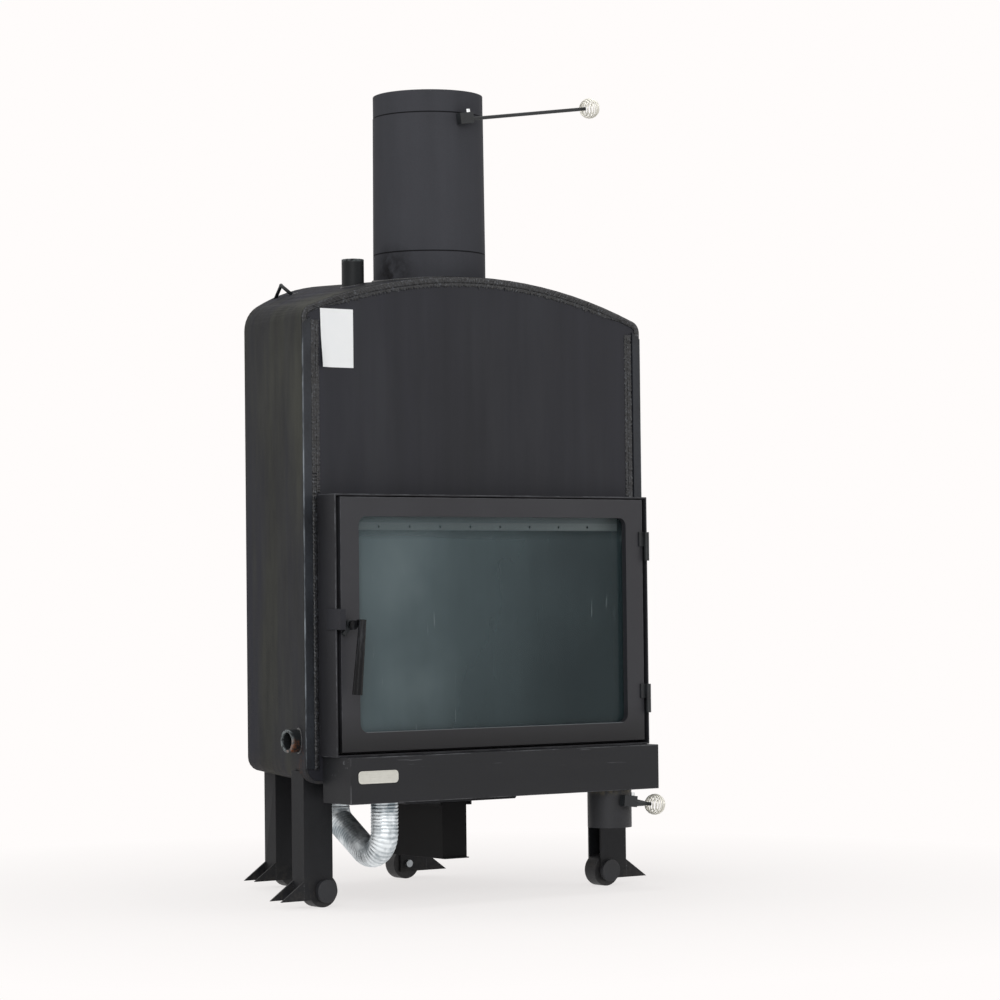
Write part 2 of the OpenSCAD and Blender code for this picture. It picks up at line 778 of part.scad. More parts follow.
// Flue
module pipe_upright(x, y, z0, z1, r, t) difference() {
    along_z(x, y, z0, z1, r);
    along_z(x, y, z0 - over, z1 + over, r - t);
}
flue_bore_r = flue_d / 2 - flue_t;
collar_base_z = top_z(flue_collar_d / 2, flue_y) - shell_inset - shell_t - collar_dip;
module flue_collar() color(flue_steel) placed() difference() {
    along_z(0, flue_y, collar_base_z, flue_seam_z, flue_collar_d / 2);
    along_z(0, flue_y, collar_base_z - over, flue_seam_z + over, flue_bore_r);
}
module flue_pipe() color(flue_steel) placed() difference() {
    translate([0, flue_y, flue_seam_z]) cylinder(h = flue_ring_z - flue_seam_z,
        r1 = flue_collar_d / 2, r2 = flue_d / 2 + flue_step);
    along_z(0, flue_y, flue_seam_z - over, flue_ring_z + over, flue_bore_r);
    along_y(0, 0, 2 * flue_y, flue_axis_z, flue_spindle_r + run, small_fn);
}
module flue_top_ring() color(flue_steel) placed()
    pipe_upright(0, flue_y, flue_ring_z, flue_top_z, flue_d / 2, flue_t);

// Damper parts that both dampers share: their own axis along Y at the origin, the lever along X
module clamp_block(spindle_r) difference() {
    block([-clamp_back, -clamp_half_t, -clamp_down], [clamp_front, clamp_half_t, clamp_up]);
    along_x(rod_seat, clamp_front + over, 0, 0, rod_r + run, small_fn);
    along_z(clamp_screw_x, 0, 0, clamp_up + over, clamp_screw_r + run, small_fn);
}
module clamp_screw() {
    along_z(clamp_screw_x, 0, rod_r + seat, clamp_up, clamp_screw_r, small_fn);
    along_z(clamp_screw_x, 0, clamp_up, clamp_up + clamp_head_h, clamp_head_r, small_fn);
}
module lever_knob(reach) translate([reach - knob_l / 2, 0, 0]) rotate([0, 90, 0]) knob_coil();
module lever_rod(reach) along_x(rod_seat, reach - knob_l / 2 + knob_grip, 0, 0, rod_r, small_fn);
module damper_disc(r, spindle_r) difference() {
    union() {
        translate([0, 0, -disc_t / 2]) cylinder(h = disc_t, r = r);
        along_y(0, -r * disc_hub_share, r * disc_hub_share, 0, spindle_r + disc_hub_rim, small_fn);
    }
    along_y(0, -r - over, r + over, 0, spindle_r + run, small_fn);
}
module at_flue_hub() placed() translate([0, flue_hub_y, flue_axis_z])
    rotate([0, -flue_lever_rise, 0]) children();
module at_inlet_hub() placed() translate([inlet_x, inlet_hub_y, inlet_axis_z])
    rotate([0, inlet_lever_droop, 0]) children();

flue_back_y = flue_y + flue_collar_d / 2 + near;
module flue_damper_disc() color(dark_steel) placed() translate([0, flue_y, flue_axis_z])
    rotate([0, -flue_lever_rise, 0]) damper_disc(flue_bore_r - disc_gap, flue_spindle_r);
module flue_damper_spindle() color(flue_steel) {
    at_flue_hub() clamp_block(flue_spindle_r);
    placed() {
        along_y(0, flue_hub_y, flue_back_y + spindle_tail, flue_axis_z, flue_spindle_r, small_fn);
        along_y(0, flue_back_y, flue_back_y + spindle_collar_t, flue_axis_z,
            flue_spindle_r + collar_rim, small_fn);
    }
}
module flue_damper_lever() color(flue_steel) at_flue_hub() lever_rod(flue_lever_l);
module flue_damper_screw() color(bright_steel) at_flue_hub() clamp_screw();
module flue_damper_knob() color(bright_steel) at_flue_hub() lever_knob(flue_lever_l);

// Water sockets
module flow_socket() color(flue_steel) placed()
    pipe_upright(-flow_x, flue_y, flow_top_z - flow_l, flow_top_z, socket_d / 2,
        (socket_d - socket_bore_d) / 2);
return_mouth_x = -half_at(return_y) - return_l + return_root;
module return_socket() color(black_steel) placed() difference() {
    along_x(return_mouth_x, return_mouth_x + return_l, return_y, return_z, socket_d / 2);
    along_x(return_mouth_x - over, return_mouth_x + return_l + over, return_y, return_z,
        socket_bore_d / 2);
}

// Lifting loops of bent round bar, welded to the top near the rear
module bar_between(a, b, r) {
    d = b - a;
    translate(a) rotate([0, acos(d[2] / norm(d)), atan2(d[1], d[0])])
        cylinder(h = norm(d), r = r, $fn = small_fn);
}
module lifting_loops() color(dark_steel) placed() difference() {
    for (s = [-1, 1]) {
        foot_a = [s * loop_x, loop_y0, top_z(loop_x, loop_y0) - loop_root];
        foot_b = [s * loop_x, loop_y1, top_z(loop_x, loop_y1) - loop_root];
        apex = [s * loop_x, loop_peak_y, top_z(loop_x, loop_peak_y) + loop_rise];
        bar_between(foot_a, apex, loop_r);
        bar_between(foot_b, apex, loop_r);
        translate(apex) sphere(r = loop_bend_r, $fn = small_fn);
    }
    body_loft(0, body_depth, 0);
}

// Casing round the door, its sealing flange and the strip with the air holes
module door_casing() color(door_steel) placed() {
    difference() {
        block([-casing_half, -casing_depth, casing_base_z], [casing_half, 0, casing_top_z]);
        block([casing_t - casing_half, -casing_depth - over, casing_base_z + casing_t],
            [casing_half - casing_t, over, casing_top_z - casing_t]);
    }
    difference() {
        block([-casing_half + casing_t / 2, -flange_y, casing_base_z + casing_t / 2],
            [casing_half - casing_t / 2, casing_t - flange_y, casing_top_z - casing_t / 2]);
        block([-mouth_half, -flange_y - over, mouth_base_z],
            [mouth_half, casing_t - flange_y + over, mouth_top_z]);
    }
}
air_strip_z = mouth_top_z + strip_air_rise - strip_air_h;
air_strip_y = -flange_y - strip_air_t;
module air_wash_strip() color("#76807f") placed() difference() {
    block([strip_air_side - mouth_half, air_strip_y, air_strip_z],
        [mouth_half - strip_air_side, -flange_y, mouth_top_z + strip_air_rise]);
    for (i = [0:strip_holes - 1]) along_y((i - (strip_holes - 1) / 2) * strip_hole_pitch,
        air_strip_y - over, over - flange_y, air_strip_z + strip_hole_drop, strip_hole_r, small_fn);
}
module rope_ring(grow) {
    x = door_half - rope_in + rope_w / 2 + grow;
    round_rect(-x, x, door_base_z + rope_in - rope_w / 2 - grow,
        door_top_z - rope_in + rope_w / 2 + grow, rope_w + grow);
}
module door_rope_gasket() color(rope_grey) placed()
    to_front(-flange_y, -door_back_y - flange_y - near) difference() {
        rope_ring(0);
        rope_ring(-rope_w);
    }

// Door leaf: a pressed frame with a rebate for the glass and bosses in its rear pocket
module ring_cut(g, y0, y1) {
    block([-open_half - g, y0, open_base_z - g], [open_half + g, y1, open_top_z + g]);
}
module clip_places() {
    for (sx = [-1, 1], sz = [-1, 1]) {
        translate([sx * open_half, 0, lerp(open_base_z, open_top_z, 1 / 2 + sz * side_clip_share)])
            rotate([0, sx > 0 ? 0 : 180, 0]) children();
        translate([sx * open_half / 2, 0, sz > 0 ? open_top_z : open_base_z])
            rotate([0, sz > 0 ? -90 : 90, 0]) children();
    }
}
pocket_in = rebate + rebate_wall;
module door_frame() color(door_steel) placed() difference() {
    union() {
        difference() {
            block([-door_half, door_y, door_base_z], [door_half, door_back_y, door_top_z]);
            difference() {
                block([skin_t - door_half, door_y + pocket_floor, door_base_z + skin_t],
                    [door_half - skin_t, door_back_y + over, door_top_z - skin_t]);
                ring_cut(pocket_in, door_y, door_back_y + 2 * over);
            }
            ring_cut(pocket_in, glass_back_y, door_back_y + over);
            ring_cut(rebate, tape_y, door_back_y + over);
            to_front(door_back_y + over, door_t + 2 * over)
                round_rect(-open_half, open_half, open_base_z, open_top_z, glass_open_r);
        }
        clip_places() block([pocket_in - over, door_y + pocket_floor / 2, -boss_w / 2],
            [door_sill - skin_t + over / 2, glass_back_y, boss_w / 2]);
        block([skin_t / 2 - door_half, door_y + pocket_floor / 2, handle_z - boss_w / 2],
            [-open_half - pocket_in + over, glass_back_y, handle_z + boss_w / 2]);
    }
    clip_places() along_y(pocket_in + clip_hold / 2, glass_back_y - clip_screw_l - over,
        glass_back_y + over, 0, clip_screw_r + run, small_fn);
    along_y(handle_x, door_y - over, door_back_y, handle_z, spindle_r + run, small_fn);
}
module glass_gasket() color(rope_grey) placed() difference() {
    ring_cut(tape_w + clip_seat, tape_y, glass_y);
    ring_cut(clip_seat, tape_y - over, glass_y + over);
}
module door_glass() color([0.25, 0.29, 0.28, 0.55]) placed() ring_cut(glass_lap, glass_y, glass_back_y);
module glass_clips() color(bright_steel) placed() difference() {
    clip_places() block([clip_lap, glass_back_y, -clip_w / 2],
        [pocket_in + clip_hold, glass_back_y + clip_t, clip_w / 2]);
    clip_places() along_y(pocket_in + clip_hold / 2, glass_back_y - over, glass_back_y + clip_t + over,
        0, clip_screw_r + fit, small_fn);
}
module glass_screws() color(bright_steel) placed() clip_places() {
    along_y(pocket_in + clip_hold / 2, glass_back_y + clip_t - clip_screw_l, glass_back_y + clip_t,
        0, clip_screw_r, small_fn);
    along_y(pocket_in + clip_hold / 2, glass_back_y + clip_t, glass_back_y + clip_t + clip_head_t,
        0, clip_head_r, small_fn);
}

// Lift off hinges: the door's knuckle stands on the casing's knuckle and turns on its pin
module hinge_door_knuckles() color(door_steel) placed() for (lift = hinge_lifts) difference() {
    z0 = door_base_z + lift + hinge_l / 2;
    union() {
        along_z(hinge_x, hinge_y, z0 + hinge_gap / 2, z0 + hinge_l / 2, knuckle_r, small_fn);
        block([hinge_x - knuckle_r / 2 - tab_l, door_y - tab_t, z0 + hinge_gap / 2],
            [hinge_x - knuckle_r / 2, door_y, z0 + hinge_l / 2]);
    }
    along_z(hinge_x, hinge_y, z0 - over, z0 + hinge_l / 2 + over, pin_r + run, small_fn);
    block([door_half - over, -casing_depth - near, z0 - over],
        [hinge_x, door_y + over, z0 + hinge_l / 2 + over]);
}
module hinge_casing_pins() color(door_steel) placed() for (lift = hinge_lifts) {
    z0 = door_base_z + lift;
    along_z(hinge_x, hinge_y, z0, z0 + hinge_l / 2 - hinge_gap / 2, knuckle_r, small_fn);
    along_z(hinge_x, hinge_y, z0, z0 + hinge_l - pin_short, pin_r, small_fn);
    block([hinge_x + pin_r, hinge_y, z0], [casing_half, -casing_depth, z0 + hinge_l / 2 - hinge_gap / 2]);
}

// Handle: an arm and a tapered grip on a spindle that also carries the tongue
module at_handle(y) placed() translate([handle_x, y, handle_z]) children();
hold_x = grip_x - grip_hold * sin(grip_lean);
hold_z = grip_rise - grip_hold * cos(grip_lean);
module handle_arm() color(black_steel) at_handle(0) {
    difference() {
        to_front(arm_back_y, arm_t) {
            circle(r = handle_hub_r);
            translate([hold_x, hold_z]) circle(r = grip_seat_r);
            rotate(atan2(hold_z, hold_x)) translate([0, -arm_web_h / 2])
                square([norm([hold_x, hold_z]), arm_web_h]);
        }
        along_y(0, arm_front_y + arm_t / 2, arm_back_y + over, 0, spindle_r + run, small_fn);
    }
    along_y(hold_x, grip_y, arm_front_y + over, hold_z, stud_r, small_fn);
}
module handle_grip() color(black_steel) at_handle(0) difference() {
    translate([grip_x, grip_y, grip_rise]) rotate([0, 180 + grip_lean, 0])
        cylinder(h = grip_l, r1 = grip_top_r, r2 = grip_low_r, $fn = small_fn);
    along_y(hold_x, grip_y - run, arm_front_y, hold_z, stud_r + run, small_fn);
}
module handle_spindle() color(dark_steel) at_handle(0) {
    along_y(0, arm_front_y + arm_t / 2 + run, glass_back_y + near + handle_nut_t + over, 0,
        spindle_r, small_fn);
    along_y(0, tongue_back_y + seat, door_y - near, 0, handle_hub_r, small_fn);
    along_y(0, glass_back_y + near, glass_back_y + near + handle_nut_t, 0, handle_nut_r, small_fn);
}
module latch_tongue() color(black_steel) at_handle(0) difference() {
    to_front(tongue_back_y, tongue_t) {
        circle(r = tongue_hub_r);
        rotate(tongue_fall) translate([-tongue_l, -tongue_h / 2]) square([tongue_l, tongue_h]);
    }
    along_y(0, tongue_front_y - over, tongue_back_y + over, 0, spindle_r + run, small_fn);
}
module latch_keeper() color(door_steel) placed() {
    lip_y = tongue_front_y - keeper_gap;
    z0 = handle_z - keeper_drop;
    block([-casing_half - keeper_t, lip_y - keeper_lip_t, z0], [-casing_half, keeper_hold - casing_depth,
        z0 + keeper_h]);
    block([-casing_half - keeper_t, lip_y - keeper_lip_t, z0], [-casing_half + keeper_lip_w, lip_y,
        z0 + keeper_h]);
}

// Air tray under the casing with its plate, and the bare label above the door
module sill_tray() color(tray_steel) placed() difference() {
    block([-tray_w / 2, -tray_depth, tray_base_z], [tray_w / 2, 0, tray_top_z]);
    block([tray_t - tray_w / 2, tray_t - tray_depth, tray_base_z + tray_t],
        [tray_w / 2 - tray_t, -tray_t, tray_top_z - tray_t]);
    along_z(inlet_x, -port_y, tray_base_z - over, tray_base_z + tray_t + over, inlet_bore_r);
    along_z(hose_x, hose_in_y, tray_base_z - over, tray_base_z + tray_t + over, spigot_r + fit);
}
module name_plate() color("#d8d6cc") placed() to_front(-tray_depth, name_t)
    round_rect(name_x, name_x + name_w, tray_base_z + name_lift, tray_base_z + name_lift + name_h, name_r);
label_z = front_crown_z - label_drop - label_h;
module data_label() color("#f2f1ec") placed()
    block([label_x, -label_t, label_z], [label_x + label_w, 0, label_z + label_h]);

// Air inlet with its damper
inlet_t = 2;
inlet_bore_r = inlet_d / 2 - inlet_t;
inlet_back_y = -port_y + inlet_d / 2 + near;
module air_inlet_stub() color(tray_steel) placed() difference() {
    pipe_upright(inlet_x, -port_y, inlet_base_z, tray_base_z, inlet_d / 2, inlet_t);
    along_y(inlet_x, inlet_hub_y, inlet_back_y + spindle_tail, inlet_axis_z,
        inlet_spindle_r + run, small_fn);
}
module air_damper_disc() color(dark_steel) placed() translate([inlet_x, -port_y, inlet_axis_z])
    rotate([0, inlet_lever_droop, 0]) damper_disc(inlet_bore_r - disc_gap, inlet_spindle_r);
module air_damper_spindle() color(tray_steel) {
    at_inlet_hub() clamp_block(inlet_spindle_r);
    placed() {
        along_y(inlet_x, inlet_hub_y, inlet_back_y + spindle_tail, inlet_axis_z, inlet_spindle_r, small_fn);
        along_y(inlet_x, inlet_back_y, inlet_back_y + spindle_collar_t, inlet_axis_z,
            inlet_spindle_r + collar_rim, small_fn);
    }
}
module air_damper_lever() color(tray_steel) at_inlet_hub() {
    lever_rod(inlet_lever_l);
    translate([clamp_front, 0, 0]) rotate([0, 90, 0])
        cylinder(h = cone_l, r1 = cone_r, r2 = cone_end_r, $fn = small_fn);
}
module air_damper_screw() color(bright_steel) at_inlet_hub() clamp_screw();
module air_damper_knob() color(bright_steel) at_inlet_hub() lever_knob(inlet_lever_l);

// Hose collars: a thin flange with a spigot that the hose slides over
module hose_collars() color(bright_steel) placed() {
    difference() {
        union() {
            along_z(hose_x, hose_in_y, tray_base_z - collar_t, tray_base_z, hose_d / 2 + collar_rim_w);
            along_z(hose_x, hose_in_y, tray_base_z - collar_t - spigot_l, tray_base_z + tray_t,
                spigot_r);
        }
        along_z(hose_x, hose_in_y, tray_base_z - collar_t - spigot_l - over,
            tray_base_z + tray_t + over, spigot_r - spigot_t);
    }
    difference() {
        union() {
            along_z(hose_x, hose_out_y, body_base_z - collar_t, body_base_z,
                hose_d / 2 + collar_rim_w);
            along_z(hose_x, hose_out_y, body_base_z - collar_t - spigot_l, hearth_z, spigot_r);
        }
        along_z(hose_x, hose_out_y, body_base_z - collar_t - spigot_l - over, hearth_z + over,
            spigot_r - spigot_t);
    }
}
module air_hose() color("#b9bcbd") placed() {
    rings = hose_rings + 1;
    m = hose_sides;
    points = concat([for (i = [0:hose_rings]) each hose_ring(i, hose_radius(i))],
        [for (i = [0:hose_rings]) each hose_ring(i, hose_bore_d / 2)]);
    inner = rings * m;
    last = hose_rings * m;
    ends = [for (k = [0:m - 1]) let (j = (k + 1) % m)
        each [[k, j, inner + j], [k, inner + j, inner + k],
            [last + k, inner + last + j, last + j], [last + k, inner + last + k, inner + last + j]]];
    polyhedron(points, concat(skin(m, 0, hose_rings, 0, false), skin(m, 0, hose_rings, inner, true), ends));
}

// Legs: channels with their webs outward and two gussets at each foot
module leg(leg_x, leg_y, top_z1) {
    y1 = leg_y + leg_depth;
    x0 = leg_x - leg_w;
    difference() {
        block([x0, leg_y, leg_base_z], [leg_x, y1, top_z1]);
        block([x0 - over, leg_y + leg_t, leg_base_z - over], [leg_x - leg_t, y1 - leg_t, top_z1 + over]);
        along_y(leg_centre(leg_x), leg_y - over, y1 + over, axle_z, axle_r + run, small_fn);
    }
    for (y = [leg_y + leg_t, y1]) to_front(y, leg_t) polygon([[leg_x, leg_base_z],
        [leg_x + gusset_l, leg_base_z], [leg_x, leg_base_z + gusset_h]]);
}
module front_leg(s) color(leg_steel) placed() mirror([s < 0 ? 1 : 0, 0, 0]) difference() {
    leg(front_leg_x, front_leg_y, body_base_z + base_corner_r * leg_trim_share);
    body_loft(-over, body_depth, 0);
}
module rear_leg(s) color(leg_steel) placed() mirror([s < 0 ? 1 : 0, 0, 0])
    leg(rear_leg_x, rear_leg_y, body_base_z);
module front_leg_left() front_leg(-1);
module front_leg_right() front_leg(1);
module rear_leg_left() rear_leg(-1);
module rear_leg_right() rear_leg(1);

// Rollers and their axles
module roller(x, y) color(leg_steel) placed() difference() {
    along_y(x, y - roller_l / 2, y + roller_l / 2, axle_z, roller_r);
    along_y(x, y - roller_l, y + roller_l, axle_z, axle_r + fit, small_fn);
}
module front_roller_left() roller(-leg_centre(front_leg_x), front_axle_y);
module front_roller_right() roller(leg_centre(front_leg_x), front_axle_y);
module rear_roller_left() roller(-leg_centre(rear_leg_x), rear_axle_y);
module rear_roller_right() roller(leg_centre(rear_leg_x), rear_axle_y);
module front_axle_pins() color(leg_steel) placed() for (s = [-1, 1]) {
    x = s * leg_centre(front_leg_x);
    along_y(x, front_leg_y - cap_t, front_leg_y, axle_z, cap_r);
    along_y(x, front_leg_y - cap_t, front_leg_y + leg_depth + pin_tail, axle_z, axle_r, small_fn);
}
module rear_axle_bolts() color(bright_steel) placed() for (s = [-1, 1]) {
    x = s * leg_centre(rear_leg_x);
    along_y(x, rear_leg_y - bolt_head_t, rear_leg_y, axle_z, bolt_head_r, small_fn);
    along_y(x, rear_leg_y - bolt_head_t, rear_leg_y + leg_depth + nut_t + bolt_tail, axle_z,
        axle_r, small_fn);
}
module rear_axle_nuts() color(bright_steel) placed() for (s = [-1, 1]) difference() {
    x = s * leg_centre(rear_leg_x);
    y = rear_leg_y + leg_depth;
    along_y(x, y, y + nut_t, axle_z, nut_af / 2 / cos(30), 6);
    along_y(x, y - over, y + nut_t + over, axle_z, axle_r + run, small_fn);
}

body_jacket();
front_plate();
rear_plate();
front_weld_bead();
corner_strips();
firebox_shell();
smoke_baffle();
water_tubes();
hearth_grate();
ash_hopper();
ash_box_rails();
ash_box();
flue_collar();
flue_pipe();
flue_top_ring();
flue_damper_disc();
flue_damper_spindle();
flue_damper_lever();
flue_damper_screw();
flue_damper_knob();
flow_socket();
return_socket();
lifting_loops();
door_casing();
air_wash_strip();
door_rope_gasket();
door_frame();
door_glass();
glass_gasket();
glass_clips();
glass_screws();
hinge_door_knuckles();
hinge_casing_pins();
handle_arm();
handle_grip();
handle_spindle();
latch_tongue();
latch_keeper();
sill_tray();
name_plate();
data_label();
air_inlet_stub();
air_damper_disc();
air_damper_spindle();
air_damper_lever();
air_damper_screw();
air_damper_knob();
hose_collars();
air_hose();
front_leg_left();
front_leg_right();
rear_leg_left();
rear_leg_right();
front_roller_left();
front_roller_right();
rear_roller_left();
rear_roller_right();
front_axle_pins();
rear_axle_bolts();
rear_axle_nuts();
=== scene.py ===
import json
import math

import bmesh
import bpy
import numpy as np
from mathutils import Matrix, Vector

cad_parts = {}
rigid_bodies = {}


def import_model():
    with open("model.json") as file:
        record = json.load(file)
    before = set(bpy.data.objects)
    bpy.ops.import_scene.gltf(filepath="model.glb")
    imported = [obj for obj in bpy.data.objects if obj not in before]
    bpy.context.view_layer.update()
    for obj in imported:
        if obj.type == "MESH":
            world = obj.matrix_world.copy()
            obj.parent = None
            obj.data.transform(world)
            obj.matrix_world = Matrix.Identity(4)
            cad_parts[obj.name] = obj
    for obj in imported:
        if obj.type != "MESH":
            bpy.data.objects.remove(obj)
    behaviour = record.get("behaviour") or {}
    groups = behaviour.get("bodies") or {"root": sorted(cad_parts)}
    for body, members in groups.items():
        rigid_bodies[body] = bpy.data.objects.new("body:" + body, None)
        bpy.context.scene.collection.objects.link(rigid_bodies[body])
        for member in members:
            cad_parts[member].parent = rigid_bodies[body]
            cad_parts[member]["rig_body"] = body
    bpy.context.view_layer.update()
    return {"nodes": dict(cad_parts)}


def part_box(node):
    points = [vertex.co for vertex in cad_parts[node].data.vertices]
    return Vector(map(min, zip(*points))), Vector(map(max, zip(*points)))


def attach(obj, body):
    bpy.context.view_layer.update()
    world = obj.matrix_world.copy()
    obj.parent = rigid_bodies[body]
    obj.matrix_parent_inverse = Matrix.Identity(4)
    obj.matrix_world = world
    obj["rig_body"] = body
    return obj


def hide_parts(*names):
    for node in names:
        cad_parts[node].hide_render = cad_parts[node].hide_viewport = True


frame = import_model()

node = frame["nodes"]
ROOT = "boiler"

# Camera
# A long lens stands low, to the left of the front, and looks slightly up. Its place and turn come
# from a perspective fit of the edges of the body, the door and the flue.
LENS_PX, FRAME_PX = 3247.0, 1000.0
CAMERA_AT = (-3.3665, -4.87755, 0.5291)
yaw, pitch, roll = math.radians(36.0), math.radians(1.75), math.radians(-0.64)
ahead = Vector((math.sin(yaw) * math.cos(pitch), math.cos(yaw) * math.cos(pitch), math.sin(pitch)))
level = Vector((math.cos(yaw), -math.sin(yaw), 0))
above = level.cross(ahead)
right = math.cos(roll) * level + math.sin(roll) * above
upward = -math.sin(roll) * level + math.cos(roll) * above
lens = bpy.data.cameras.new("studio_lens")
lens.sensor_width = 36
lens.lens = lens.sensor_width * LENS_PX / FRAME_PX
lens.clip_end = 100
camera = bpy.data.objects.new("studio_camera", lens)
view = Matrix((right, upward, -ahead)).transposed().to_4x4()
view.translation = CAMERA_AT
camera.matrix_world = view
bpy.context.scene.collection.objects.link(camera)
bpy.context.scene.camera = camera

# Air hose
# A bright aluminium hose crimped into ribs, so that it stays as it is bent. It takes air from the tray
# to the underside of the body, and each end is pushed over a collar's spigot.
HOSE_ROUTE = [(-0.236, -0.21995, 0.182), (-0.236, -0.21995, 0.060), (-0.236, -0.06795, 0.149),
              (-0.236, -0.06795, 0.215)]
HOSE_BENDS = (0.042, 0.030)
HOSE_RIBS, HOSE_CREST_R, HOSE_VALLEY_R, HOSE_WALL = 50, 0.024, 0.0229, 0.0007
HOSE_SIDES, RIB_STEPS, ROUTE_STEP = 48, 8, 0.0004


def unit(v):
    """Vectors divided by their own lengths, along the last axis."""
    v = np.asarray(v, float)
    return v / np.linalg.norm(v, axis=-1, keepdims=True)


def bent_route(corners, radii, step):
    """Points a step apart along straight runs that round arcs join: each arc has the given radius and is
    tangent to the runs on both sides of its corner."""
    corners = [np.array(c, float) for c in corners]
    points, start = [], corners[0]
    for before, corner, after, r in zip(corners, corners[1:], corners[2:], radii):
        a, b = unit(corner - before), unit(after - corner)
        bend = math.acos(float(a @ b))
        cut = r * math.tan(bend / 2)
        inward = unit(b - a * float(a @ b))
        first, hub = corner - a * cut, corner - a * cut + inward * r
        n = max(2, round(np.linalg.norm(first - start) / step))
        points.append(start + np.linspace(0, 1, n, endpoint=False)[:, None] * (first - start))
        g = np.linspace(0, bend, max(2, round(bend * r / step)), endpoint=False)[:, None]
        points.append(hub + r * (np.sin(g) * a - np.cos(g) * inward))
        start = corner + b * cut
    n = max(2, round(np.linalg.norm(corners[-1] - start) / step))
    points.append(start + np.linspace(0, 1, n + 1)[:, None] * (corners[-1] - start))
    return np.concatenate(points)


def walked(path, closed=False):
    """The length walked from the first point to each point of a path, and the whole length."""
    step = np.linalg.norm(np.roll(path, -1, 0) - path, axis=1)
    sums = np.concatenate([[0], np.cumsum(step)])
    return (sums[:-1], sums[-1]) if closed else (sums[:len(path)], sums[len(path) - 1])


def evenly(path, count):
    """A path's line, cut again into equal steps."""
    gone, whole = walked(path)
    at = np.linspace(0, whole, count)
    return np.stack([np.interp(at, gone, path[:, i]) for i in range(3)], -1)


def shell(rings, looped=False):
    """A skin over rings of points: point j of ring k is joined to its neighbours in its ring and in the
    next ring. The rings close on themselves, and either the last meets the first or both ends are capped."""
    rings = np.asarray(rings, float)
    n, m = rings.shape[:2]
    k, j = np.meshgrid(np.arange(n if looped else n - 1), np.arange(m), indexing="ij")
    near, far, beside = k * m, (k + 1) % n * m, (j + 1) % m
    faces = np.stack([near + j, near + beside, far + beside, far + j], -1).reshape(-1, 4).tolist()
    if not looped:
        faces += [list(range(m))[::-1], list(range((n - 1) * m, n * m))]
    return rings.reshape(-1, 3), faces


def made_piece(name, shells, body, sharp=None):
    """One mesh object of several closed skins, faces outwards, that rides on a body."""
    points, faces, base = [], [], 0
    for some_points, some_faces in shells:
        points.append(some_points)
        faces += [[base + i for i in face] for face in some_faces]
        base += len(some_points)
    mesh = bpy.data.meshes.new(name)
    mesh.from_pydata(np.concatenate(points).tolist(), [], faces)
    shape = bmesh.new()
    shape.from_mesh(mesh)
    bmesh.ops.recalc_face_normals(shape, faces=shape.faces)
    shape.to_mesh(mesh)
    shape.free()
    mesh.polygons.foreach_set("use_smooth", np.ones(len(mesh.polygons), bool))
    if sharp:
        mesh.set_sharp_from_angle(angle=math.radians(sharp))
    piece = bpy.data.objects.new(name, mesh)
    bpy.context.scene.collection.objects.link(piece)
    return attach(piece, body)


def tube_rings(path, radius, sides, up, closed=False):
    """Rings round a path: each is a circle square to the path, of a radius that may change with the ring
    and with the angle, and its first point lies towards up."""
    step = np.roll(path, -1, 0) - np.roll(path, 1, 0) if closed else np.gradient(path, axis=0)
    forward = unit(step)
    up = np.broadcast_to(np.asarray(up, float), path.shape)
    first = unit(up - forward * (up * forward).sum(1, keepdims=True))
    second = np.cross(forward, first)
    g = 2 * np.pi * np.arange(sides) / sides
    r = np.broadcast_to(radius, (len(path), sides))[..., None]
    return path[:, None] + r * (np.cos(g)[None, :, None] * first[:, None]
                                + np.sin(g)[None, :, None] * second[:, None])


hose_line = evenly(bent_route(HOSE_ROUTE, HOSE_BENDS, ROUTE_STEP), HOSE_RIBS * RIB_STEPS + 1)
hose_far, hose_length = walked(hose_line)
# The middle of the hose is drawn out, so its ribs are lower there by up to 0.6 of their height
drawn_out = 0.6 * np.exp(-((hose_far / hose_length - 0.5) / 0.17) ** 2)
rib_wave = 0.5 + 0.5 * np.cos(2 * np.pi * HOSE_RIBS * hose_far / hose_length)
rib_wave = 1 - (1 - rib_wave) * (1 - drawn_out)
around = 2 * np.pi * np.arange(HOSE_SIDES) / HOSE_SIDES
crimp = 1 + 0.006 * np.sin(5 * around[None] + 40 * hose_far[:, None]) * np.sin(3 * around[None] + 1)
hose_r = (HOSE_VALLEY_R + (HOSE_CREST_R - HOSE_VALLEY_R) * rib_wave[:, None] ** 0.7) * crimp
outer = tube_rings(hose_line, hose_r, HOSE_SIDES, (1, 0, 0))
inner = tube_rings(hose_line, hose_r - HOSE_WALL, HOSE_SIDES, (1, 0, 0))
air_hose = made_piece("ribbed_hose", [shell(np.concatenate([outer, inner[::-1]]), looped=True)], ROOT)
rib = air_hose.data.attributes.new("rib", "FLOAT", "POINT")
rib.data.foreach_set("value", np.repeat(np.concatenate([rib_wave, rib_wave[::-1]]), HOSE_SIDES))
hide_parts("air_hose")


